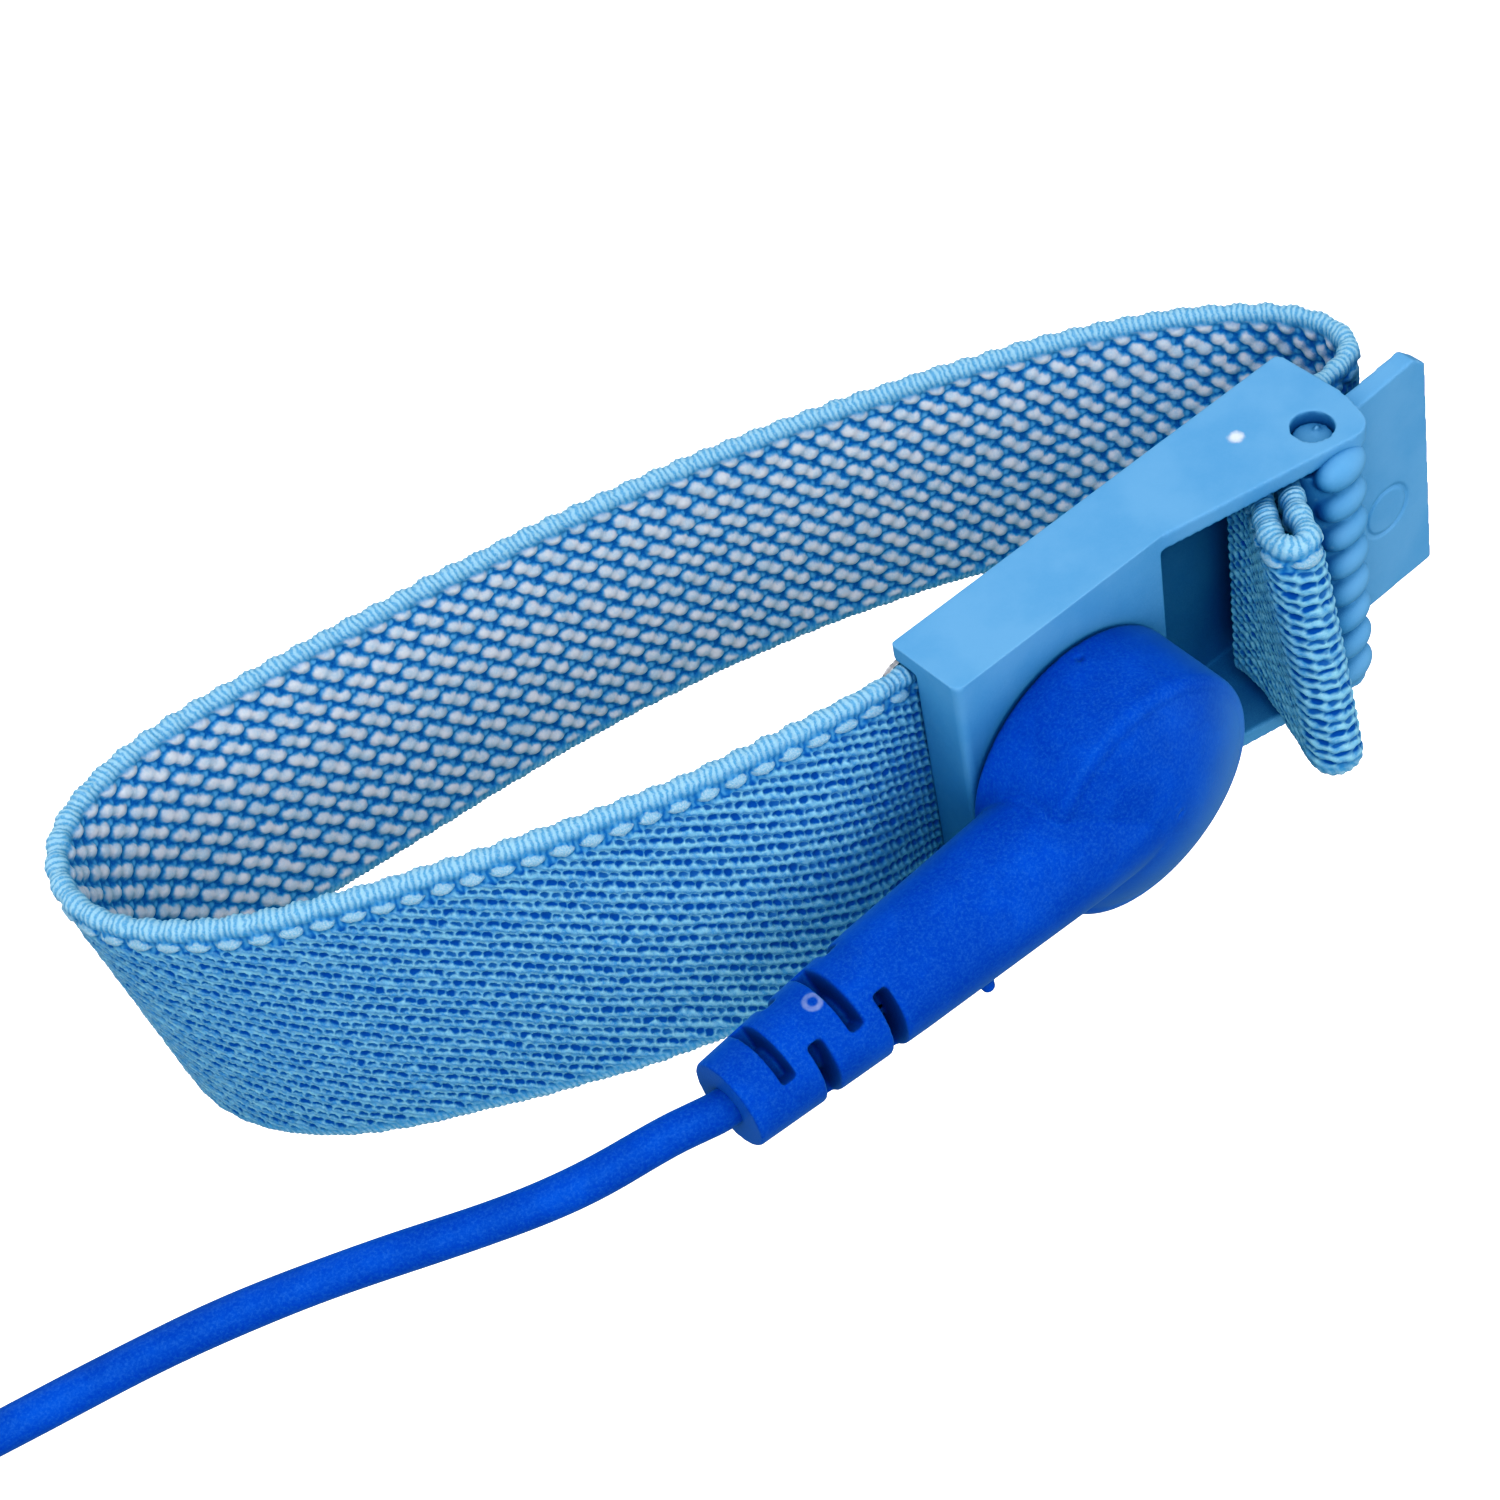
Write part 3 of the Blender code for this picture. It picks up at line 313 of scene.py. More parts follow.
def resistor_lacquer(name, low_x, high_x):
    """The pale blue lacquer of a metal-film resistor with its colour bands, read along x."""
    g = Graph(name)
    at = g.place()
    span = high_x - low_x
    along = g.math("DIVIDE", g.math("SUBTRACT", g.node("SeparateXYZ", {"Vector": at}, 0), low_x), span)
    wobble = g.math("MULTIPLY_ADD", g.noise(at, 1.5), 0.02, along)
    base = g.mix(g.ramp(g.noise(at, 0.8), 0.3, 0.7), linear(96, 158, 190), linear(120, 182, 208))
    bands = (
        (0.86, linear(104, 60, 30)),
        (0.70, linear(18, 16, 16)),
        (0.56, linear(18, 16, 16)),
        (0.42, linear(222, 196, 40)),
        (0.17, linear(104, 60, 30)),
    )
    for middle, paint in bands:
        off = g.math("ABSOLUTE", g.math("SUBTRACT", wobble, middle))
        base = g.mix(g.ramp(off, 0.028, 0.038, 1.0, 0.0), base, paint)
    normal = g.bump(g.noise(at, 1.2), 0.3, 0.05)
    return g.finish(Base_Color=base, Roughness=0.24, Coat_Weight=0.6, Coat_Roughness=0.12, Normal=normal)


# ---- knit pattern, once for the mesh and once for the material ------------------------------------
def smoothstep(x):
    x = np.clip(x, 0, 1)
    return x * x * (3 - 2 * x)


def stitch_height(along, down, stitch):
    """1 in the middle of a repeated stitch, falling to 0 at its edge."""
    middle_u, middle_v, half_u, half_v, tilt, strength = stitch
    u = ((along - middle_u) / CELL[0] + 0.5) % 1.0 - 0.5
    v = ((down - middle_v) / CELL[1] + 0.5) % 1.0 - 0.5
    turn = math.radians(-tilt)
    ahead = (u * math.cos(turn) + v * math.sin(turn)) / (half_u / CELL[0])
    aside = (-u * math.sin(turn) + v * math.cos(turn)) / (half_v / CELL[1])
    return strength * smoothstep(1.35 - np.hypot(ahead, aside))


def stitch_mask(g, weave, stitch, full=0.35):
    """The same stitch as a material mask, whole out to a share of its size."""
    middle_u, middle_v, half_u, half_v, tilt, strength = stitch
    scale = (1 / CELL[0], 1 / CELL[1], 0)
    offset = (0.5 - middle_u / CELL[0], 0.5 - middle_v / CELL[1], 0)
    local = g.vector("FRACTION", g.vector("MULTIPLY_ADD", weave, scale, offset))
    settings = {
        "Vector": local,
        "Location": (0.5, 0.5, 0),
        "Rotation": (0, 0, math.radians(-tilt)),
        "Scale": (half_u / CELL[0], half_v / CELL[1], 1),
    }
    shaped = g.node("Mapping", settings, vector_type="TEXTURE")
    far = g.vector("LENGTH", shaped, output="Value")
    return g.ramp(far, full, 1.35, strength, 0.0)


def strongest(g, masks):
    total = masks[0]
    for mask in masks[1:]:
        total = g.math("MAXIMUM", total, mask)
    return total


def knit_material(name):
    """Sky-blue outer strands over dark gaps, grey-white loops inside, and ribbed pale borders."""
    g = Graph(name)
    weave = g.node("Attribute", {}, "Vector", attribute_name="weave")
    fibre = g.noise(weave, 9.0, 3.0, 0.7)
    tone = g.noise(weave, 1.3, 3.0, 0.6)
    stray = g.node("TexNoise", {"Vector": weave, "Scale": 1.5, "Detail": 2.0}, "Color")
    loose = g.vector("MULTIPLY_ADD", g.vector("SUBTRACT", stray, (0.5, 0.5, 0.5)), (0.5, 0.5, 0), weave)
    along = g.node("SeparateXYZ", {"Vector": loose}, 0)
    down = g.node("SeparateXYZ", {"Vector": loose}, 1)
    side = g.node("SeparateXYZ", {"Vector": weave}, 2)
    away = g.math("ABSOLUTE", down)

    across = g.math("MULTIPLY_ADD", along, SLOPE, down)
    place = g.math("FRACT", g.math("DIVIDE", g.math("SUBTRACT", across, STRAND_FROM), STRAND))
    from_gap = g.math("MINIMUM", place, g.math("SUBTRACT", 1.0, place))
    gap = g.ramp(from_gap, 0.0, 0.26, 0.5, 0.0)
    twist = g.math("ADD", g.math("DIVIDE", along, PLY), g.math("MULTIPLY", place, 0.5))
    ply = g.math("MULTIPLY_ADD", g.math("COSINE", g.math("MULTIPLY", twist, 2 * math.pi)), 0.5, 0.5)
    # The twists alternate paler and darker: partly the yarn's own pale lumps, partly a painted highlight on
    # each twist.
    strand = g.mix(ply, linear(88, 162, 218), linear(136, 204, 234))
    # Painted shade: the lower part of each strand is darker, as if lit from above.
    strand = g.mix(g.ramp(place, 0.45, 0.85, 0.0, 0.55), strand, linear(54, 130, 204))
    strand = g.mix(g.ramp(tone, 0.4, 0.62, 0.0, 0.5), strand, linear(146, 218, 236))
    strand = g.mix(g.ramp(fibre, 0.4, 0.8, 0.0, 0.4), strand, linear(186, 226, 244))
    dark = strongest(g, [stitch_mask(g, loose, s, 0.65) for s in DARK_STITCHES] + [gap])
    outer = g.mix(dark, strand, linear(4, 70, 164))

    loops = strongest(g, [stitch_mask(g, loose, s) for s in PALE_STITCHES])
    crossing = strongest(g, [stitch_mask(g, loose, s) for s in BLUE_STITCHES])
    ground = g.mix(g.ramp(fibre, 0.3, 0.7), linear(2, 70, 160), linear(34, 116, 200))
    ground = g.mix(crossing, ground, linear(104, 178, 234))
    pale = g.mix(g.ramp(tone, 0.35, 0.65), linear(176, 206, 226), linear(214, 224, 232))
    pale = g.mix(g.ramp(fibre, 0.4, 0.75, 0.0, 0.5), pale, linear(238, 238, 236))
    inner = g.mix(g.ramp(loops, 0.0, 0.3), ground, linear(84, 154, 212))
    inner = g.mix(g.ramp(loops, 0.2, 0.75), inner, pale)

    slant = g.math("MULTIPLY_ADD", g.math("SUBTRACT", away, PICOT_ROW), 0.25, along)
    turn = g.math("MULTIPLY", slant, 2 * math.pi / RIB)
    rib = g.math("MULTIPLY_ADD", g.math("COSINE", turn), 0.5, 0.5)
    edge = g.mix(g.ramp(rib, 0.1, 0.8), linear(92, 164, 214), linear(146, 204, 232))
    edge = g.mix(g.ramp(fibre, 0.4, 0.8, 0.0, 0.5), edge, linear(190, 226, 240))

    picot = picot_mask(g, along, away)
    between = g.mix(rib, linear(36, 108, 190), linear(90, 160, 216))
    loop = g.mix(g.ramp(fibre, 0.3, 0.7), linear(112, 180, 218), linear(176, 210, 226))
    row = g.mix(g.ramp(picot, 0.15, 0.7), between, loop)
    in_row = g.ramp(g.math("ABSOLUTE", g.math("SUBTRACT", down, -PICOT_ROW)), 0.42, 0.66, 1.0, 0.0)
    outer = g.mix(in_row, outer, row)
    outwards = g.ramp(side, -0.2, 0.2)
    face = g.mix(outwards, inner, outer)
    rim_from = g.math("MULTIPLY_ADD", outwards, RIM_FROM - RIM_FROM_INSIDE, RIM_FROM_INSIDE)
    rim = g.ramp(g.math("SUBTRACT", away, rim_from), -0.25, 0.25)
    # Painted shade: the border is darker towards its inner edge, next to the looped row.
    edge = g.mix(g.ramp(away, RIM_FROM, 9.3, 0.75, 0.0), edge, linear(52, 132, 200))
    base = g.mix(rim, face, edge)
    # Painted shade in the knit's crevices and where other parts close it in.
    base = g.painted_crevice_shade(base, 7.0, 0.85, (0, 46, 140))
    height = g.math("MULTIPLY_ADD", fibre, 0.7, g.math("MULTIPLY", dark, -0.6))
    return g.finish(
        Base_Color=base,
        Roughness=0.82,
        Normal=g.bump(height, 0.6, 0.06),
        Sheen_Weight=0.25,
        Sheen_Roughness=0.5,
        Sheen_Tint=(0.5, 0.8, 1.0, 1.0),
        Specular_IOR_Level=0.15,
    )


def picot_mask(g, along, away):
    """One loop of the looped row in each repeat, as a material mask."""
    share = g.math("FRACT", g.math("DIVIDE", along, CELL[0]))
    local = g.math("MULTIPLY", g.math("SUBTRACT", share, 0.5), CELL[0])
    off_row = g.math("SUBTRACT", away, PICOT_ROW)
    ahead = g.math("POWER", g.math("ABSOLUTE", g.math("DIVIDE", local, PICOT[0])), PICOT_POWER)
    aside = g.math("POWER", g.math("ABSOLUTE", g.math("DIVIDE", off_row, PICOT[1])), PICOT_POWER)
    return g.ramp(g.math("ADD", ahead, aside), 0.5, 1.3, 1.0, 0.0)


def picot_height(along, away):
    """The same loop's height, from 0 to 1."""
    ahead = np.abs(((along / CELL[0]) % 1.0 - 0.5) * CELL[0] / PICOT[0]) ** PICOT_POWER
    aside = np.abs((away - PICOT_ROW) / PICOT[1]) ** PICOT_POWER
    return smoothstep((1.3 - ahead - aside) / 0.8)


def knit_relief(along, down, side):
    """How far the yarn stands out from the smooth strip, in millimetres."""
    away = np.abs(down)
    dark = np.max([stitch_height(along, down, s) for s in DARK_STITCHES], axis=0)
    place = ((down + SLOPE * along - STRAND_FROM) / STRAND) % 1.0
    twist = along / PLY + place * 0.5
    strands = 0.09 * np.sqrt(np.clip(1 - (2 * place - 1) ** 2, 0, 1)) + 0.03 * np.cos(2 * math.pi * twist)
    outer = strands - 0.26 * dark
    in_row = smoothstep((0.66 - np.abs(down + PICOT_ROW)) / 0.3)
    outer = outer * (1 - in_row) + in_row * (-0.16 + 0.36 * picot_height(along, away))
    loops = np.max([stitch_height(along, down, s) for s in PALE_STITCHES], axis=0)
    crossing = np.max([stitch_height(along, down, s) for s in BLUE_STITCHES], axis=0)
    inner = -0.22 + 0.38 * loops + 0.1 * crossing
    face = np.where(side > 0, outer, inner)
    slant = along + 0.25 * (away - PICOT_ROW)
    scallops = np.where(down < 0, 0.07, 0.02) * np.cos(along * 2 * math.pi / CELL[0])
    ribs = 0.045 * np.cos(slant * 2 * math.pi / RIB) + scallops
    rim_from = np.where(side > 0, RIM_FROM, RIM_FROM_INSIDE)
    rim = smoothstep((away - rim_from + 0.25) / 0.5)
    return face * (1 - rim) + ribs * rim


def slow_wave(along, down, rng, size, reach):
    """A smooth random field: a few long waves in random directions."""
    total = np.zeros_like(along)
    for _ in range(5):
        heading, phase = rng.uniform(0, 2 * math.pi, 2)
        length = reach * rng.uniform(0.6, 1.6)
        total += np.sin((along * math.cos(heading) + down * math.sin(heading)) * 2 * math.pi / length + phase)
    return total * size / 5


# ---- mesh helpers --------------------------------------------------------------------------------
def object_from(name, mesh, look):
    obj = bpy.data.objects.new(name, mesh)
    bpy.context.scene.collection.objects.link(obj)
    mesh.materials.clear()
    mesh.materials.append(look)
    return obj


def tube_mesh(name, rings):
    """A closed mesh from rings of points in millimetres (count, sides, 3), with flat ends."""
    count, sides, _ = rings.shape
    index = np.arange(count * sides).reshape(count, sides)
    ahead = np.roll(index, -1, axis=1)
    quads = np.stack([index[:-1], ahead[:-1], ahead[1:], index[1:]], axis=-1).reshape(-1, 4)
    mesh = bpy.data.meshes.new(name)
    mesh.vertices.add(count * sides)
    mesh.vertices.foreach_set("co", (rings * MM).astype(np.float32).ravel())
    loops = np.concatenate([quads.ravel(), index[0][::-1], index[-1]])
    mesh.loops.add(len(loops))
    mesh.loops.foreach_set("vertex_index", loops.astype(np.int32))
    starts = np.r_[np.arange(len(quads)) * 4, len(quads) * 4, len(quads) * 4 + sides]
    mesh.polygons.add(len(starts))
    mesh.polygons.foreach_set("loop_start", starts.astype(np.int32))
    mesh.update(calc_edges=True)
    mesh.validate()
    mesh.shade_smooth()
    return mesh


def resampled(path, step):
    """Points every step along a polyline whose columns are carried along with it."""
    gaps = np.linalg.norm(np.diff(path[:, :3], axis=0), axis=1)
    run = np.r_[0, np.cumsum(gaps)]
    count = int(run[-1] / step)
    at = np.linspace(0, run[-1], count + 1)
    return np.stack([np.interp(at, run, path[:, k]) for k in range(path.shape[1])], axis=1), at


def smoothed(path, rounds):
    path = path.copy()
    for _ in range(rounds):
        path[1:-1] = path[1:-1] / 2 + (path[:-2] + path[2:]) / 4
    return path


def knit_strip(name, upper, lower, thick, look, seed):
    """A knitted strip between two edge lines, its outer face to the left of its run seen from above."""
    both, at = resampled(np.hstack([(upper + lower) / 2, (upper - lower) / 2]), RIB / 4)
    middle, half = both[:, :3], both[:, 3:]
    heading = np.gradient(middle, axis=0)
    heading /= np.linalg.norm(heading, axis=1)[:, None]
    across = half / np.linalg.norm(half, axis=1)[:, None]
    out = np.cross(across, heading)
    out /= np.linalg.norm(out, axis=1)[:, None]
    flat = np.linalg.norm(half, axis=1).mean()
    radius = thick / 2

    rows = int(2 * flat / FACE_STEP)
    w = np.linspace(flat, -flat, rows)
    bend = np.linspace(0, math.pi, ARC_STEPS + 2)[1:-1]
    ring_w = np.r_[w, -flat - radius * np.sin(bend), -w, flat + radius * np.sin(bend)]
    ring_side = np.r_[np.ones(rows), np.cos(bend), -np.ones(rows), -np.cos(bend)]
    rise = np.r_[np.zeros(rows), -np.sin(bend), np.zeros(rows), np.sin(bend)]

    along, w_all = np.meshgrid(at, ring_w, indexing="ij")
    side = np.broadcast_to(ring_side, along.shape)
    rng = np.random.default_rng(seed)
    u = along + slow_wave(along, w_all, rng, 0.16, 9.0)
    v = -w_all + slow_wave(along, w_all, rng, 0.10, 7.0)
    relief = knit_relief(u, v, side) + slow_wave(along, w_all, rng, 0.05, 2.2)

    stretch = (w_all / flat)[..., None]
    spot = middle[:, None, :] + half[:, None, :] * stretch
    spot += out[:, None, :] * (ring_side * radius)[None, :, None]
    direction = out[:, None, :] * ring_side[None, :, None] + across[:, None, :] * rise[None, :, None]
    spot += direction * relief[..., None]
    mesh = tube_mesh(name, spot)
    weave = mesh.attributes.new("weave", "FLOAT_VECTOR", "POINT")
    weave.data.foreach_set("vector", np.stack([u, v, side], axis=-1).astype(np.float32).ravel())
    return object_from(name, mesh, look)


# ---- band ----------------------------------------------------------------------------------------
def strip_line(tree, height, turns):
    """The middle line of the CAD strip at one height, found by rays from inside the loop."""
    inside = Vector((-12.0, 12.0, height)) * MM
    points = []
    for degrees in turns:
        angle = math.radians(degrees)
        ray = Vector((math.cos(angle), math.sin(angle), 0))
        first = tree.ray_cast(inside, ray)[0]
        second = tree.ray_cast(first + ray * 0.00005, ray)[0]
        points.append((first + second) / 2 / MM)
    points = [tuple(p) for p in points]
    lead_in = cast_end(tree, points[0][1], height, -X)
    run_out = cast_end(tree, points[-1][1], height, X)
    return np.array([(lead_in, points[0][1], height)] + points + [(run_out, points[-1][1], height)])


def cast_end(tree, y, height, way):
    """Where the strip's cut end stands, seen from between its two ends."""
    start = Vector((12.0, y, height)) * MM
    return tree.ray_cast(start, way)[0].x / MM


def mesh_tree(obj):
    bm = bmesh.new()
    bm.from_mesh(obj.data)
    tree = BVHTree.FromBMesh(bm)
    bm.free()
    return tree


def build_band(look):
    """The knitted loop, from the riveted end round the wrist to the clamp."""
    tree = mesh_tree(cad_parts["band_loop"])
    first, last, rays = -39.5, -382.0, 900  # headings in degrees, seen from inside the loop
    turns = np.linspace(first, last, rays)
    reach = BAND_HALF - 1.5  # the two lines are found this far from the band's middle
    lines = []
    for height in (BAND_MIDDLE + reach, BAND_MIDDLE - reach):
        line = smoothed(strip_line(tree, height, turns), 12)
        run = np.r_[0, np.cumsum(np.linalg.norm(np.diff(line, axis=0), axis=1))]
        share = np.linspace(0, run[-1], 1500)
        lines.append(np.stack([np.interp(share, run, line[:, k]) for k in range(3)], axis=1))
    middle, half = (lines[0] + lines[1]) / 2, (lines[0] - lines[1]) / 2
    half *= (BAND_HALF - STRIP_THICK / 2) / reach
    out = np.cross(half, np.gradient(middle, axis=0))
    middle += out / np.linalg.norm(out, axis=1)[:, None] * STRIP_OUTWARDS
    band = knit_strip("knit_band", middle + half, middle - half, STRIP_THICK, look, 11)
    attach(band, "buckle")
    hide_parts("band_loop")


def build_tail(look):
    """The strip's free end: it climbs out of the recess and is folded back on itself as a stop."""
    low, high = (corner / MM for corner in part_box("band_tail"))
    foot = high.y
    root, tip = Vector((18.0, -7.8)), Vector((15.6, -12.6))
    ahead = (tip - root).normalized()
    aside = Vector((-ahead.y, ahead.x))
    layer, thick = 1.05, 1.6  # half the distance between the two layers, and their thickness
    reach, lean, drop = 1.3, 0.55, 2.4  # how far the free part hangs down, leans and slants
    foot_right, foot_left = 1.1, -0.7  # where the legs stand, from the root
    turn_at = tip - ahead * 0.9
    points = [Vector((root.x + foot_right, foot)), root + aside * layer]
    for k in range(FOLD_STEPS + 1):
        angle = math.pi * k / FOLD_STEPS
        points.append(turn_at + (aside * math.cos(angle) + ahead * math.sin(angle)) * layer)
    points += [root - aside * layer, Vector((root.x + foot_left, foot))]
    line = np.array([(p.x, p.y, 0.0) for p in points])
    line = smoothed(resampled(line, 0.15)[0], 10)
    free = np.clip((-line[:, 1] - 6.5) / 4.0, 0, 1)
    upper, lower = line.copy(), line.copy()
    upper[:, 2] = high.z - thick / 2
    lower[:, 2] = low.z + thick / 2 - reach * free
    upper[:, 0] -= lean * free
    upper[:, 1] += lean * free
    lower[:, 1] -= drop * free
    tail = knit_strip("knit_tail", upper, lower, thick, look, 23)
    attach(tail, "buckle")
    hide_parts("band_tail")
    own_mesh(tail)


# ---- moulded pieces ------------------------------------------------------------------------------
def add_modifier(obj, kind, label, **settings):
    made = obj.modifiers.new(label, kind)
    for key, value in settings.items():
        setattr(made, key, value)
    return made


def soften(obj, voxel, rounds):
    """Fuses and rounds a moulded shape: an even skin of small quads, relaxed over its edges."""
    add_modifier(obj, "REMESH", "Skin", mode="VOXEL", voxel_size=voxel * MM, use_smooth_shade=True)
    add_modifier(obj, "SMOOTH", "Relax", factor=0.5, iterations=rounds)


def applied(obj):
    """Bakes the object's modifiers into its mesh."""
    bpy.context.view_layer.update()
    mesh = bpy.data.meshes.new_from_object(obj.evaluated_get(bpy.context.evaluated_depsgraph_get()))
    obj.modifiers.clear()
    obj.data = mesh
    return obj


def lathe(profile, at, direction, sides):
    """A closed turned shape from (radius, height) points about a line from a point."""
    bm = bmesh.new()
    rings = []
    for radius, height in profile:
        if radius == 0:
            rings.append([bm.verts.new((0, 0, height))])
            continue
        ring = []
        for k in range(sides):
            angle = 2 * math.pi * k / sides
            ring.append(bm.verts.new((radius * math.cos(angle), radius * math.sin(angle), height)))
        rings.append(ring)
    for near, far in zip(rings, rings[1:]):
        for k in range(sides):
            ahead = k + 1
            corners = [near[k % len(near)], near[ahead % len(near)], far[ahead % len(far)], far[k % len(far)]]
            bm.faces.new(list(dict.fromkeys(corners)))
    bmesh.ops.remove_doubles(bm, verts=bm.verts, dist=0.0001)
    bmesh.ops.recalc_face_normals(bm, faces=bm.faces)
    stand = Matrix.Translation(Vector(at)) @ Z.rotation_difference(Vector(direction)).to_matrix().to_4x4()
    bmesh.ops.transform(bm, matrix=Matrix.Scale(MM, 4) @ stand, verts=bm.verts)
    return bm


def rod(start, end, radius, sides=96):
    start, end = Vector(start), Vector(end)
    tall = (end - start).length
    return lathe([(0, 0), (radius, 0), (radius, tall), (0, tall)], start, end - start, sides)


def prism(near, far):
    """A closed solid between two matching outlines, given in metres."""
    bm = bmesh.new()
    near = [bm.verts.new(p) for p in near]
    far = [bm.verts.new(p) for p in far]
    bm.faces.new(near)
    bm.faces.new(far[::-1])
    for a in range(len(near)):
        b = (a + 1) % len(near)
        bm.faces.new((near[b], near[a], far[a], far[b]))
    bmesh.ops.recalc_face_normals(bm, faces=bm.faces)
    return bm


def slab(outline, low_y, high_y):
    """A plate between two heights of y, from (x, z) corners."""
    near = [(x * MM, low_y * MM, z * MM) for x, z in outline]
    far = [(x * MM, high_y * MM, z * MM) for x, z in outline]
    return prism(near, far)


def ball(centre, radii, turn=Matrix.Identity(4)):
    bm = bmesh.new()
    shape = Matrix.Translation(Vector(centre)) @ turn @ Matrix.Diagonal((*radii, 1))
    bmesh.ops.create_uvsphere(bm, u_segments=32, v_segments=20, radius=1, matrix=Matrix.Scale(MM, 4) @ shape)
    return bm


def combined(name, solids, cutters, look, voxel, rounds):
    """The union of some shapes less some others, fused into one soft-edged moulding."""
    mesh = bpy.data.meshes.new(name)
    bm = bmesh.new()
    for part in solids:
        piece = bpy.data.meshes.new("piece")
        part.to_mesh(piece)
        part.free()
        bm.from_mesh(piece)
        bpy.data.meshes.remove(piece)
    bm.to_mesh(mesh)
    bm.free()
    obj = object_from(name, mesh, look)
    add_modifier(obj, "REMESH", "Fuse", mode="VOXEL", voxel_size=voxel * MM, use_smooth_shade=True)
    applied(obj)
    for number, part in enumerate(cutters):
        piece = bpy.data.meshes.new(f"{name}_cutter_{number}")
        part.to_mesh(piece)
        part.free()
        tool = bpy.data.objects.new(piece.name, piece)
        bpy.context.scene.collection.objects.link(tool)
        add_modifier(obj, "BOOLEAN", "Cut", operation="DIFFERENCE", solver="MANIFOLD", object=tool)
        applied(obj)
        bpy.data.objects.remove(tool)
    soften(obj, voxel, rounds)
    return applied(obj)


def relief_slot(x, y, degrees):
    """A slot through one side of the neck's wall, with radial ends."""
    half_width, inner, outer = 0.52, 1.55, 6.0
    reach, steps = 54, 12  # half the slot's arc in degrees, and its segments
    corners = []
    for k in range(steps + 1):
        angle = math.radians(degrees - reach + 2 * reach * k / steps)
        corners.append(Vector((0, -math.sin(angle), math.cos(angle))))
    outline = [c * outer for c in corners] + [c * inner for c in corners[::-1]]
    near = [(Vector((x - half_width, y, 0)) + c) * MM for c in outline]
    far = [(Vector((x + half_width, y, 0)) + c) * MM for c in outline]
    return prism(near, far)


def build_cap(look):
    """The plug's overmoulding: domed cap, tapering neck and slotted strain relief."""
    low, high = (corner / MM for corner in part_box("plug_cap"))
    cap, base, crown = high.x, high.y, low.y
    rim, edge = -14.0, 0.9  # y where the wall turns into the dome, and the radius of that turn
    dome_steps, edge_steps = 40, 8
    flat = cap - 0.1 - edge
    profile = [(0, -crown)]
    for k in range(1, dome_steps):
        radius = flat * k / dome_steps
        profile.append((radius, -rim - (crown - rim) * (1 - (radius / flat) ** 2)))
    for k in range(edge_steps + 1):
        angle = math.pi / 2 * (1 - k / edge_steps)
        profile.append((flat + edge * math.cos(angle), -rim - edge * (1 - math.sin(angle))))
    profile += [(cap, -base), (0, -base)]
    neck_y, root, waist, end = -12.0, 4.45, 3.8, 3.0  # the neck's y and its radii
    straight, waist_x, end_x = 6.0, -20.5, low.x
    neck = [(0, 0), (root, 0), (root, straight), (waist, -waist_x), (end, -end_x), (0, -end_x)]
    solids = [lathe(profile, (0, 0, 0), -Y, 192), lathe(neck, (0, neck_y, 0), -X, 128)]
    solids.append(ball((-15.2, neck_y - 2.9, -3.2), (0.5, 0.4, 0.4)))
    socket_hole, cord_hole, cord_hole_end = 5.3, 1.45, -22.6
    dash, dash_turn = (0.45, 0.3, 0.16), Matrix.Rotation(math.radians(-35), 4, "Y")
    cutters = [
        rod((0, base + 1, 0), (0, neck_y, 0), socket_hole),
        rod((-3.2, neck_y, 0), (cord_hole_end, neck_y, 0), cord_hole),
        ball((-0.1, crown - 0.05, 1.75), dash, dash_turn),
        ball((0.0, crown - 0.05, 0.85), dash, dash_turn),
        ball((0.2, -8.2, cap), (0.3, 0.3, 0.25)),
    ]
    for k, x in enumerate((-22.5, -24.8, -27.5, -29.9)):
        for turn in (0, 180):
            cutters.append(relief_slot(x, neck_y, turn + 90 * ((k + 1) % 2)))
    made = combined("plug_moulding", solids, cutters, look, 0.13, 6)
    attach(made, "snap_plug")
    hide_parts("plug_cap")


def build_lever(look):
    """The clamp lever: finger plate, hub, gudgeons and the row of rounded lobes that grip the band."""
    low, high = (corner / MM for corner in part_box("clamp_lever"))
    x, y = 21.7, -7.3  # the hinge's axis
    ends = (-8.9, 9.9)  # z of the hub's ends
    outer, inner, tip = -7.1, -5.7, high.x  # y of the plate's faces, and x of its end
    hub, gudgeon = 2.7, 1.3
    far_edge = [(31.3, 10.6), (tip - 0.5, ends[1] - 0.3), (tip + 0.5, ends[0])]
    plate = [(x, ends[1])] + far_edge + [(x, ends[0] - 0.4)]
    solids = [
        rod((x, y, ends[0]), (x, y, ends[1]), hub),
        rod((x, y, low.z + 0.5), (x, y, high.z - 0.5), gudgeon),
        ball((22.3, -7.1, high.z - 0.6), (0.32, 0.22, 0.45)),
        slab(plate, outer, inner),
    ]
    pitch, lean = 2.68, -0.035  # of the row of lobes
    lobe, lobe_out = (1.3, 2.1, 1.4), 2.35  # radii, and distance from the axis
    count = int((ends[1] - ends[0]) / pitch)
    heading = math.radians(-84)
    centre = Vector((x + lobe_out * math.cos(heading), y + lobe_out * math.sin(heading)))
    for k in range(count + 1):
        z = (ends[0] + ends[1]) / 2 + (k - count / 2) * pitch
        turn = Matrix.Rotation(heading, 4, "Z") @ Matrix.Rotation(math.radians(20), 4, "Y")
        solids.append(ball((centre.x + z * lean, centre.y, z), lobe, turn))
    groove = [(1.75, -0.17), (2.05, -0.17), (2.05, 0.6), (1.75, 0.6), (1.75, -0.17)]
    ring_cutter = lathe(groove, (28.9, outer, -1.1), -Y, 96)
    made = combined("lever_moulding", solids, [ring_cutter], look, 0.11, 2)
    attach(made, "lever")
    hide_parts("clamp_lever")


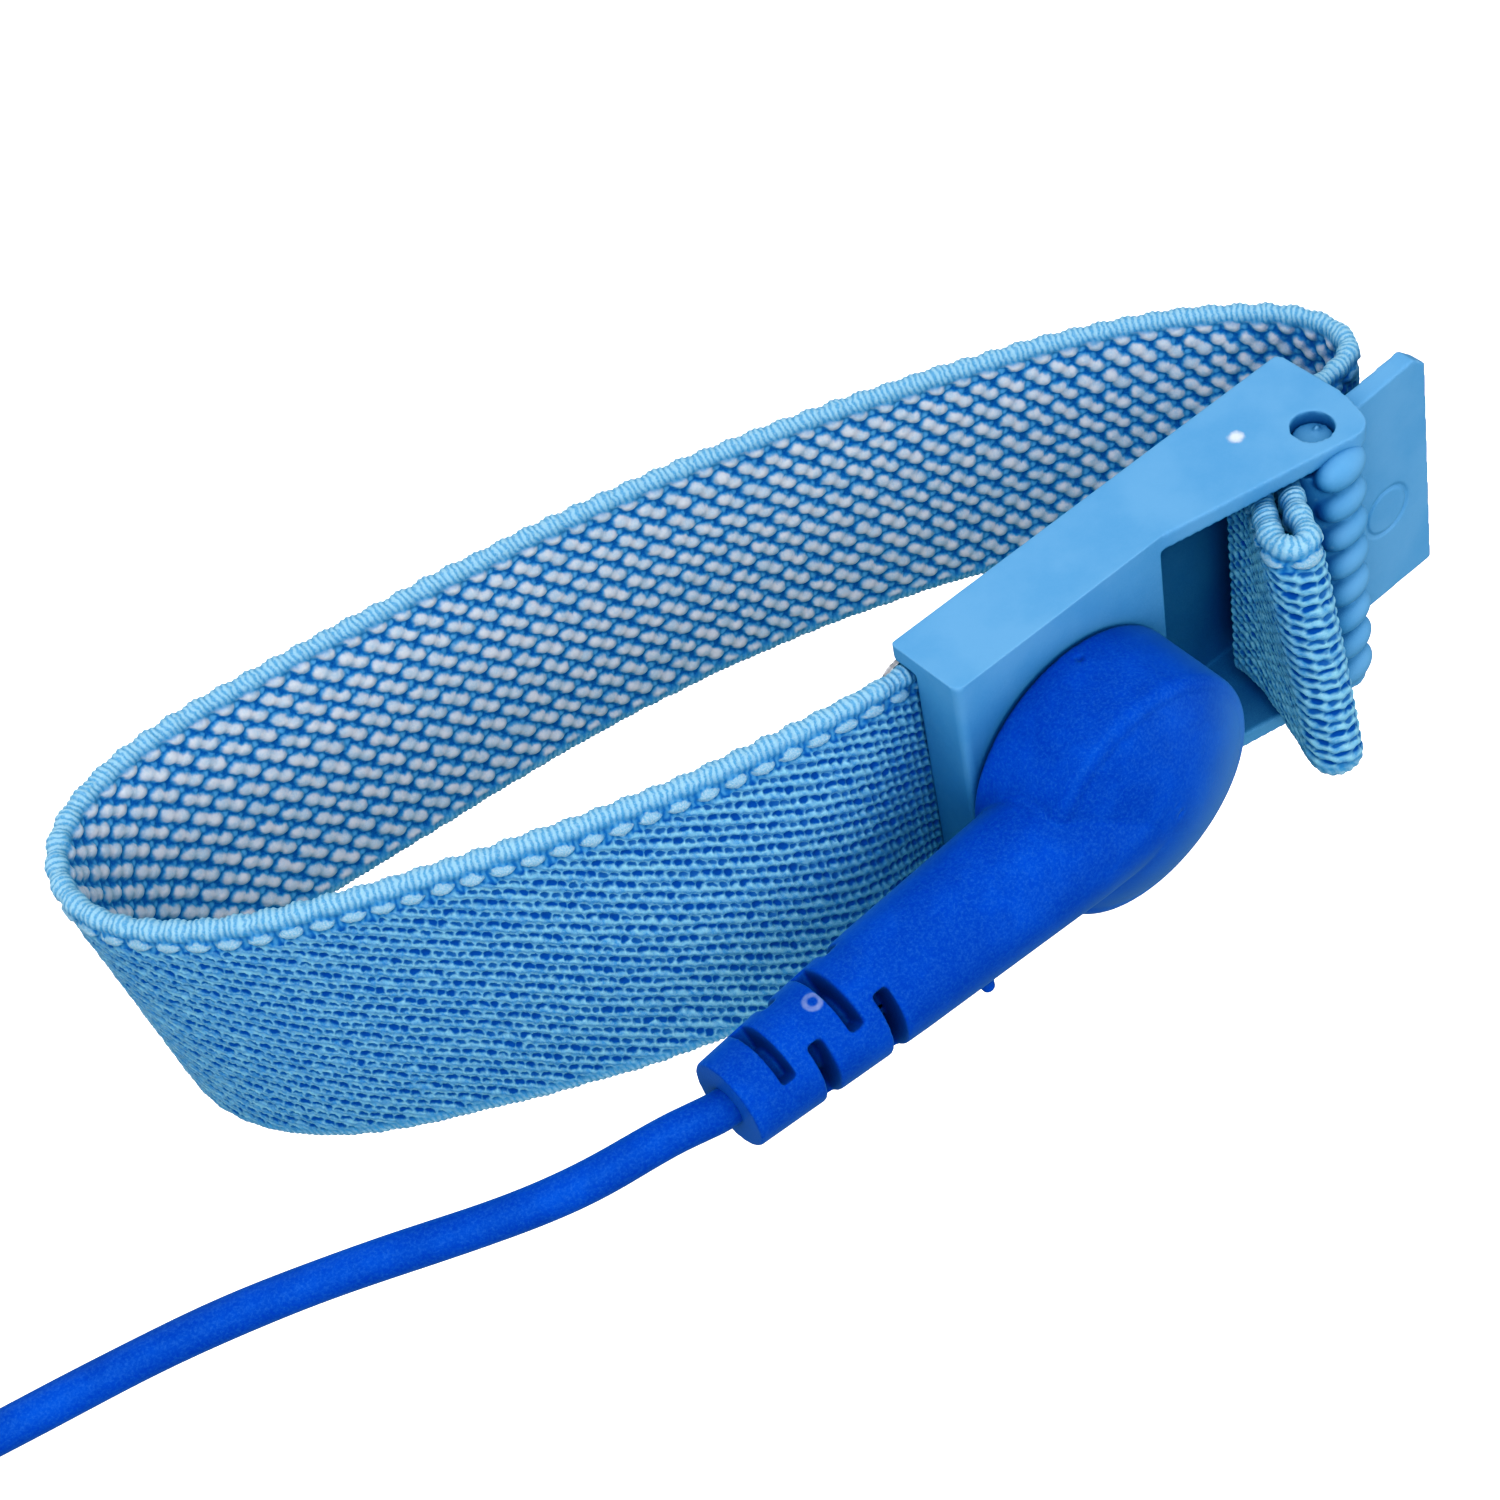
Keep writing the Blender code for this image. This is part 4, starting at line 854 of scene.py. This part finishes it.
# ---- cords ---------------------------------------------------------------------------------------
def open_tube(node):
    """A CAD wire's skin in millimetres and its normals, without the flat ends."""
    bm = bmesh.new()
    bm.from_mesh(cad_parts[node].data)
    bmesh.ops.remove_doubles(bm, verts=bm.verts, dist=0.00001)
    rims = [e for e in bm.edges if e.is_manifold and e.calc_face_angle() > SHARP]
    bmesh.ops.split_edges(bm, edges=rims)
    bm.normal_update()
    tube = []
    unseen = set(bm.verts)
    while unseen:
        island, ahead = [], [unseen.pop()]
        while ahead:
            vert = ahead.pop()
            island.append(vert)
            beyond = {e.other_vert(vert) for e in vert.link_edges} & unseen
            unseen -= beyond
            ahead += beyond
        tube = max(tube, island, key=len)
    skin = np.array([tuple(v.co / MM) for v in tube])
    normals = np.array([tuple(v.normal) for v in tube])
    bm.free()
    return skin, normals


def centreline(node, radius):
    """The middle line of a CAD wire, from one cut end to the other: its rings' centres in order."""
    skin, normals = open_tube(node)
    order = np.lexsort(skin.T)
    centres = (skin - normals * radius)[order]
    left = []
    while len(centres):
        near = np.linalg.norm(centres - centres[0], axis=1) < RING_REACH
        left.append(centres[near].mean(axis=0))
        centres = centres[~near]
    middle = np.mean(left, axis=0)
    left.sort(key=lambda p: -np.linalg.norm(p - middle))
    walk = [left.pop(0)]
    while left:
        left.sort(key=lambda p: np.linalg.norm(p - walk[-1]))
        walk.append(left.pop(0))
    return np.array(walk)


def coil_line(start, end):
    """The coiled run between the ends of its two neighbours, as wide as the CAD coil."""
    low, high = (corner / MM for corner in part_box("cord_coil"))
    radius = (high.z - low.z) / 2 - CORD
    along = end - start
    beside = Z.cross(along).normalized()
    points = [start]
    for k in range(COIL_TURNS * COIL_STEPS + 1):
        turns = k / COIL_STEPS
        share = min(1, min(turns, COIL_TURNS - turns) / COIL_RAMP)
        out = beside * math.cos(2 * math.pi * turns) + Z * math.sin(2 * math.pi * turns)
        run = COIL_MARGIN + (1 - 2 * COIL_MARGIN) * turns / COIL_TURNS
        points.append(start + along * run + out * radius * share * share * (3 - 2 * share))
    return np.array([tuple(p) for p in points + [end]])


def curved(points, steps):
    """A smooth line through points, with steps between each two."""
    padded = np.vstack([2 * points[0] - points[1], points, 2 * points[-1] - points[-2]])
    t = (np.arange(steps) / steps)[:, None]
    parts = []
    for a, b, c, d in zip(padded, padded[1:], padded[2:], padded[3:]):
        bend = (2 * a - 5 * b + 4 * c - d) * t**2 + (3 * b - a - 3 * c + d) * t**3
        parts.append(b + ((c - a) * t + bend) / 2)
    return np.vstack(parts + [points[-1:]])


def swept(name, path, radii, sides, look):
    """A round skin along a path, turned without twist, with softly closed ends."""
    heading = np.gradient(path, axis=0)
    heading /= np.linalg.norm(heading, axis=1)[:, None]
    side = np.cross(heading[0], (0.3, 0.1, 1.0))
    rings = []
    turn = np.linspace(0, 2 * math.pi, sides, endpoint=False)
    for point, ahead, radius in zip(path, heading, radii):
        side = side - ahead * side.dot(ahead)
        side /= np.linalg.norm(side)
        up = np.cross(ahead, side)
        rings.append(point + radius * (np.outer(np.cos(turn), side) + np.outer(np.sin(turn), up)))
    return object_from(name, tube_mesh(name, np.array(rings)), look)


def build_cords(look):
    """The jacketed cord in three runs: the lead, the coil that stretches, and the ground lead."""
    rng = np.random.default_rng(5)
    lead = centreline("cord_lead", CORD)
    back = centreline("cord_ground_lead", CORD)
    if lead[0][0] < lead[-1][0]:
        lead = lead[::-1]
    start = Vector(lead[-1])
    if (Vector(back[0]) - start).length < (Vector(back[-1]) - start).length:
        back = back[::-1]
    coil = coil_line(start, Vector(back[-1]))
    runs = (("cord_lead", lead, 6), ("cord_coil", coil, 2), ("cord_ground_lead", back, 6))
    cords = {}
    for node, line, steps in runs:
        path = curved(line, steps)
        run = np.r_[0, np.cumsum(np.linalg.norm(np.diff(path, axis=0), axis=1))]
        radii = CORD + slow_wave(run, np.zeros_like(run), rng, 0.03, 14.0)
        cords[node] = swept(node.replace("cord", "jacket"), path, radii, 28, look)
        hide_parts(node)
    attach(cords["cord_lead"], "snap_plug")
    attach(cords["cord_ground_lead"], "ground_plug")
    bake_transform(cords["cord_coil"])


# ---- the rest of the hardware --------------------------------------------------------------------
def dress(look, *names):
    """Gives CAD nodes a material."""
    for name in names:
        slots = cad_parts[name].material_slots
        for slot in slots:
            slot.material = look
        if not slots:
            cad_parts[name].data.materials.append(look)


def rounded(voxel, rounds, *names):
    for name in names:
        soften(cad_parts[name], voxel, rounds)


def build_hardware(sky, royal):
    dress(sky, "buckle_frame")
    rounded(0.14, 3, "buckle_frame")
    steel = metal("brushed_stainless", (188, 190, 194), 0.34, (0.12, 1, 3))
    nickel = metal("nickel_plate", (196, 190, 178), 0.26)
    spring = metal("spring_steel", (150, 150, 154), 0.34, (1, 1, 0.4))
    tin = metal("tinned", (206, 204, 198), 0.36, amount=0.4)
    low, high = (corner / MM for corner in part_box("resistor_body"))
    dress(steel, "contact_plate", "clip_pivot_pin")
    dress(nickel, "stud_post", "snap_stud", "snap_socket", "banana_pin")
    dress(nickel, "clip_lower_jaw", "clip_upper_jaw", "clip_sleeve")
    dress(spring, "socket_spring", "banana_spring", "clip_spring")
    dress(tin, "socket_terminal", "resistor_lead_socket", "resistor_lead_cord", "lead_crimp")
    dress(resistor_lacquer("resistor_paint", low.x, high.x), "resistor_body")
    dress(stranded_copper("copper_strands"), "cord_core_snap_end", "cord_core_ground_end")
    dress(royal, "ground_plug_body")
    rounded(0.2, 4, "ground_plug_body")
    rounded(0.08, 3, "snap_stud", "snap_socket", "stud_post", "contact_plate")
    rounded(0.12, 3, "clip_lower_jaw", "clip_upper_jaw", "clip_sleeve", "clip_pivot_pin")
    rounded(0.12, 4, "banana_pin", "banana_spring", "resistor_body")
    rounded(0.07, 5, "socket_spring", "clip_spring")


# ---- stage ---------------------------------------------------------------------------------------
def area_light(name, at, target, size, power):
    data = bpy.data.lights.new(name, "AREA")
    data.shape = "DISK"
    data.size = size
    data.energy = power
    obj = bpy.data.objects.new(name, data)
    obj.location = at
    obj.rotation_euler = (Vector(target) - Vector(at)).to_track_quat("-Z", "Y").to_euler()
    bpy.context.scene.collection.objects.link(obj)


def build_floor():
    """White paper to the camera, and a grey surface to everything else."""
    g = Graph("paper")
    tone = g.mix(g.ramp(g.noise(g.place(), 0.01), 0.3, 0.7), *(linear(*c) for c in WHITE_PAPER))
    seen = g.node("LightPath", {}, "Is Camera Ray")
    tone = g.mix(seen, linear(*PAPER_AS_A_SURFACE), tone)
    look = g.finish(Base_Color=tone, Roughness=0.9, Emission_Color=(1, 1, 1, 1), Emission_Strength=seen)
    bm = bmesh.new()
    bmesh.ops.create_grid(bm, x_segments=1, y_segments=1, size=3.0)
    bmesh.ops.translate(bm, vec=(0, 0, FLOOR_Z * MM), verts=bm.verts)
    mesh = bpy.data.meshes.new("floor")
    bm.to_mesh(mesh)
    bm.free()
    object_from("floor", mesh, look)


def build_sky():
    """Soft light that grows towards SKY_TOWARDS; the camera itself sees white."""
    world = bpy.data.worlds.new("studio")
    world.use_nodes = True
    tree = world.node_tree
    sky = tree.nodes["Background"]
    at = tree.nodes.new("ShaderNodeTexCoord")
    towards = tree.nodes.new("ShaderNodeVectorMath")
    towards.operation = "DOT_PRODUCT"
    towards.inputs[1].default_value = Vector(SKY_TOWARDS).normalized()
    fall = tree.nodes.new("ShaderNodeMapRange")
    for key, value in (("From Min", -0.6), ("From Max", 1.0), ("To Min", SKY_LOW), ("To Max", SKY_HIGH)):
        fall.inputs[key].default_value = value
    tree.links.new(at.outputs["Generated"], towards.inputs[0])
    tree.links.new(towards.outputs["Value"], fall.inputs["Value"])
    seen = tree.nodes.new("ShaderNodeLightPath")
    bright = tree.nodes.new("ShaderNodeMath")
    bright.operation = "MAXIMUM"
    tree.links.new(seen.outputs["Is Camera Ray"], bright.inputs[0])
    tree.links.new(fall.outputs["Result"], bright.inputs[1])
    tree.links.new(bright.outputs["Value"], sky.inputs["Strength"])
    tint = tree.nodes.new("ShaderNodeMix")
    tint.data_type = "RGBA"
    tint.inputs[6].default_value, tint.inputs[7].default_value = SKY_TINT, (1, 1, 1, 1)
    tree.links.new(seen.outputs["Is Camera Ray"], tint.inputs[0])
    tree.links.new(tint.outputs[2], sky.inputs["Color"])
    bpy.context.scene.world = world


def build_camera():
    camera = bpy.data.cameras.new("camera")
    camera.lens = CAMERA_LENS
    camera.clip_start = 0.01
    eye = bpy.data.objects.new("camera", camera)
    eye.location = Vector(CAMERA_AT) * MM
    eye.rotation_euler = [math.radians(a) for a in CAMERA_TURN]
    bpy.context.scene.collection.objects.link(eye)
    bpy.context.scene.camera = eye


def set_view():
    """Standard colours with the red channel curved by RED_CURVE."""
    view = bpy.context.scene.view_settings
    view.view_transform = "Standard"
    view.look = "None"
    view.use_curve_mapping = True
    red = view.curve_mapping.curves[0]
    for spot in RED_CURVE:
        red.points.new(*spot)
    view.curve_mapping.update()


sky_plastic = moulded_plastic("sky_plastic", *SKY_BLUES, 0.5, GATE_SPECK)
royal_pvc = soft_pvc("royal_pvc", *ROYAL_BLUES, SCUFF)
knit = knit_material("knit")
build_band(knit)
build_tail(knit)
build_lever(sky_plastic)
build_cap(royal_pvc)
build_cords(royal_pvc)
build_hardware(sky_plastic, royal_pvc)
build_floor()
build_sky()
for lamp in LAMPS:
    area_light(*lamp)
build_camera()
set_view()
